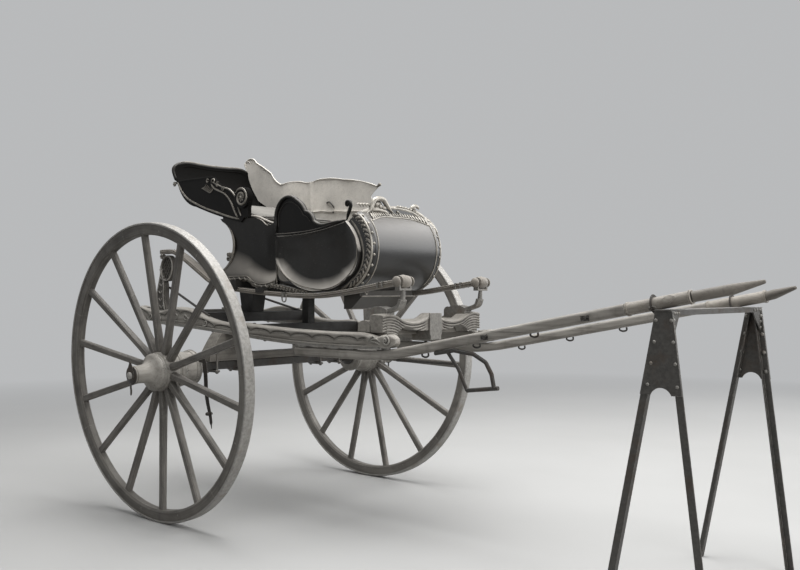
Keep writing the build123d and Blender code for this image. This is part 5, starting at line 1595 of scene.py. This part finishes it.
# Leather strap that hangs from the axle arm on the right side
hanging = Form()
path = smooth([at(0.020, -0.6000, 0.8065), at(0.070, -0.6000, 0.8100), at(0.118, -0.6000, 0.8020),
               at(0.131, -0.6000, 0.7670), at(0.139, -0.6005, 0.7060), at(0.143, -0.6010, 0.6450),
               at(0.153, -0.6000, 0.5950), at(0.164, -0.5990, 0.5560), at(0.178, -0.6000, 0.5150),
               at(0.188, -0.6010, 0.4620)], 5)
sizes = [1.30 - 0.45 * (i / (len(path) - 1))**2 for i in range(len(path))]
sizes[-1] = 0.16
sizes[-2] = 0.30
sizes[-3] = 0.42
hanging.sweep(path, strap_section(0.024, 0.0042, 0.3), sizes, (0, 1, 0))
hanging.box((0.1570, -0.6200, 0.5270), (0.1740, -0.5800, 0.5450), 0.005)
turned_section = strap_section(0.0038, 0.024, 0.3)
wrap = [at(0.047 * math.cos(math.radians(a)), -0.6000, 0.7602 + 0.047 * math.sin(math.radians(a)))
        for a in range(60, 421, 15)]
hanging.sweep(wrap, turned_section, 1.0, (0, 1, 0))
hanging.piece("hanging_strap", "carriage", "brace_leather", strap_leather)

# Clips round the axle bed, and straps of iron on its wooden tree
clips = Form()
for y in (0.300, 0.455):
    for x in (-0.0265, 0.0265):
        clips.bead([at(x * 1.55, -y, 0.736), at(x * 1.55, -y, 0.790), at(x * 1.55, -y, 0.840)], 0.0055,
                   (1, 0, 0), 8)
    clips.box((-0.052, -y - 0.013, 0.7285), (0.052, -y + 0.013, 0.7410), 0.002)
    clips.box((-0.0445, -y - 0.013, 0.8240), (0.0445, -y + 0.013, 0.8330), 0.002)
    for x in (-0.041, 0.041):
        clips.dome(at(x, -y, 0.8330), 0.0095, (0, 0, 1), 0.8, 6)
        clips.dome(at(x, -y, 0.7285), 0.0095, (0, 0, -1), 0.8, 6)
clips.mirrored()
clips.piece("axle_clips", "carriage", "dark_iron", clip_iron)

# Under box mouldings and the small curl on its front
box_trim = Form()
for x, z, r in ((0.8515, 1.1320, 0.0032), (0.7775, 1.0690, 0.0028)):
    box_trim.bead([at(x, y, z) for y in (-0.2005, 0.0, 0.2005)], r, (0, 0, 1), 8)
curl = spiral(-0.170, 1.148, 0.014, 0.004, 160, -1.2)
box_trim.bead([at(0.8535, p[0], p[1] + 0.002) for p in curl], 0.0034, (1, 0, 0), 7, 0.3)
box_trim.piece("under_box_mouldings", "carriage", "body_lacquer", trim_gilt)

# Rosette knobs at the rear corners of the wings
knobs = Form()
centre = at(-0.5740, -0.2860, 1.7860)
for k in range(6):
    a = math.tau * k / 6
    petal = [centre + Vector((r * math.cos(a), -0.004, r * math.sin(a))) for r in (0.002, 0.007, 0.012,
                                                                                   0.015)]
    knobs.sweep(petal, round_section(8, 0.8), [0.003, 0.0056, 0.0060, 0.0022], (0, 1, 0))
knobs.dome(centre + Vector((0, -0.005, 0)), 0.0070, (0, -1, 0), 0.9, 12)
knobs.bead(smooth([centre + Vector((0.004, 0.002, 0)), centre + Vector((0.016, 0.004, 0.012)),
                   centre + Vector((0.024, 0.004, 0.020))], 4), 0.0052, (0, 1, 0), 8, 0.3)
knobs.mirrored()
knobs.piece("wing_knobs", "carriage", "body_lacquer", trim_gilt)


# Materials of the CAD nodes that stay
node_looks = {
    "right_tyre": tyre_mat, "left_tyre": tyre_mat,
    "right_felloes": felloe_wood[-1], "left_felloes": felloe_wood[1],
    "right_spokes": spoke_wood[-1], "left_spokes": spoke_wood[1],
    "right_nave": nave_wood[-1], "left_nave": nave_wood[1],
    "axle": dark_iron, "linchpins": plate_iron, "axle_tree": bolster_wood,
    "left_rail": rail_wood, "right_rail": rail_wood, "rail_irons": rail_iron,
    "left_shaft": shaft_paint, "right_shaft": shaft_paint,
    "shaft_sleeves": sleeve_leather, "shaft_tips": tip_leather,
    "front_crossbar": cross_wood, "crossbar_clip": plate_iron,
    "front_irons": plate_iron, "brace_rollers": plate_iron,
    "rear_crossbar": tree_wood, "left_rear_standard": post_wood, "right_rear_standard": post_wood,
    "rear_stays": dark_iron, "left_brace": brace_leather, "right_brace": brace_leather,
    # The parts under the body take the near-black painted-shade wood.
    "middle_crossbars": painted_shade_wood, "body_buffers": painted_shade_wood,
    "seat_shell": shell_black, "seat_box": body_black, "seat_board": inner_wood, "seat_riser": inner_wood,
    "seat_cushion": cushion_leather, "drum": drum_black, "drum_discs": body_black, "side_ears": body_black,
    "under_box": box_grey, "body_bearers": painted_shade_wood, "apron": apron_leather, "step": dark_iron,
    "trestle_legs": trestle_iron, "trestle_plates": trestle_iron, "trestle_rail": trestle_iron,
}
for part in frame["record"]["subparts"]:
    node_mesh = nodes[part["node"]].data
    node_mesh.materials.clear()
    node_mesh.materials.append(node_looks[part["node"]])


# Plain studio: pale floor and backdrop, one soft light overhead, one soft wall of light behind.
# Camera, gloss and glass see the pale colours; the bounce on the object is a plain, lower one.
def seen_share(tree):
    """1 for rays from the camera and for those that gloss and glass send, 0 for bounced light."""
    path = tree.nodes.new("ShaderNodeLightPath")
    total = None
    for name in ("Is Camera Ray", "Is Glossy Ray", "Is Transmission Ray"):
        if total is None:
            total = path.outputs[name]
            continue
        larger = tree.nodes.new("ShaderNodeMath")
        larger.operation = "MAXIMUM"
        tree.links.new(total, larger.inputs[0])
        tree.links.new(path.outputs[name], larger.inputs[1])
        total = larger.outputs[0]
    return total


def soft_light(name, place, target, width, height, power):
    data = bpy.data.lights.new(name, "AREA")
    data.shape = "RECTANGLE"
    data.size = width
    data.size_y = height
    data.energy = power
    lamp = bpy.data.objects.new(name, data)
    scene.collection.objects.link(lamp)
    lamp.location = place
    lamp.rotation_euler = (Vector(target) - Vector(place)).to_track_quat("-Z", "Y").to_euler()


floor_mesh = bpy.data.meshes.new("floor")
floor_mesh.from_pydata([(-40, -40, 0), (40, -40, 0), (40, 40, 0), (-40, 40, 0)], [], [(0, 1, 2, 3)])
floor = bpy.data.objects.new("floor", floor_mesh)
scene.collection.objects.link(floor)
floor_paint = Paint("floor")
floor_tone = floor_paint.noise(0.7, 3.0, 0.5)
seen_colour = floor_paint.mix(floor_paint.ramp(floor_tone, 0.3, 0.7), (0.42, 0.418, 0.41),
                              (0.45, 0.448, 0.44))
seen = seen_share(floor_paint.tree)
distance = floor_paint.add("ShaderNodeVectorMath", {0: floor_paint.coords},
                           operation="LENGTH").outputs["Value"]
far_share = floor_paint.math("MULTIPLY", seen, floor_paint.ramp(distance, 3.2, 9.0))
floor_colour = floor_paint.mix(seen, (0.22, 0.218, 0.213), seen_colour)
floor_colour = floor_paint.mix(far_share, floor_colour, (0.0, 0.0, 0.0))
floor_bump = floor_paint.bump(floor_tone, 0.02, 0.001)
floor_mesh.materials.append(floor_paint.done(floor_colour, 0.95, floor_bump, specular_ior_level=0.0))
floor_paint.shader.inputs["Emission Color"].default_value = (0.97, 0.985, 1.0, 1)
floor_paint.feed(floor_paint.shader.inputs["Emission Strength"],
                 floor_paint.math("MULTIPLY", far_share, 0.50))

world = bpy.data.worlds.new("world")
scene.world = world
world.use_nodes = True
background = world.node_tree.nodes["Background"]
background.inputs[0].default_value = (0.97, 0.985, 1.0, 1)
strength = world.node_tree.nodes.new("ShaderNodeMapRange")
world.node_tree.links.new(seen_share(world.node_tree), strength.inputs["Value"])
strength.inputs["To Min"].default_value = 0.36
strength.inputs["To Max"].default_value = 0.50
world.node_tree.links.new(strength.outputs[0], background.inputs[1])
soft_light("overhead", at(0.6, 0.2, 5.2), at(0.6, 0.0, 0.5), 5.0, 4.0, 350)
soft_light("behind", at(3.2, 5.6, 3.75), at(0.9, 0.0, 1.4), 7.5, 5.0, 330)
soft_light("front", at(6.5, -1.0, 3.0), at(0.2, 0.0, 0.9), 3.0, 3.0, 130)

scene.view_settings.view_transform = "Standard"
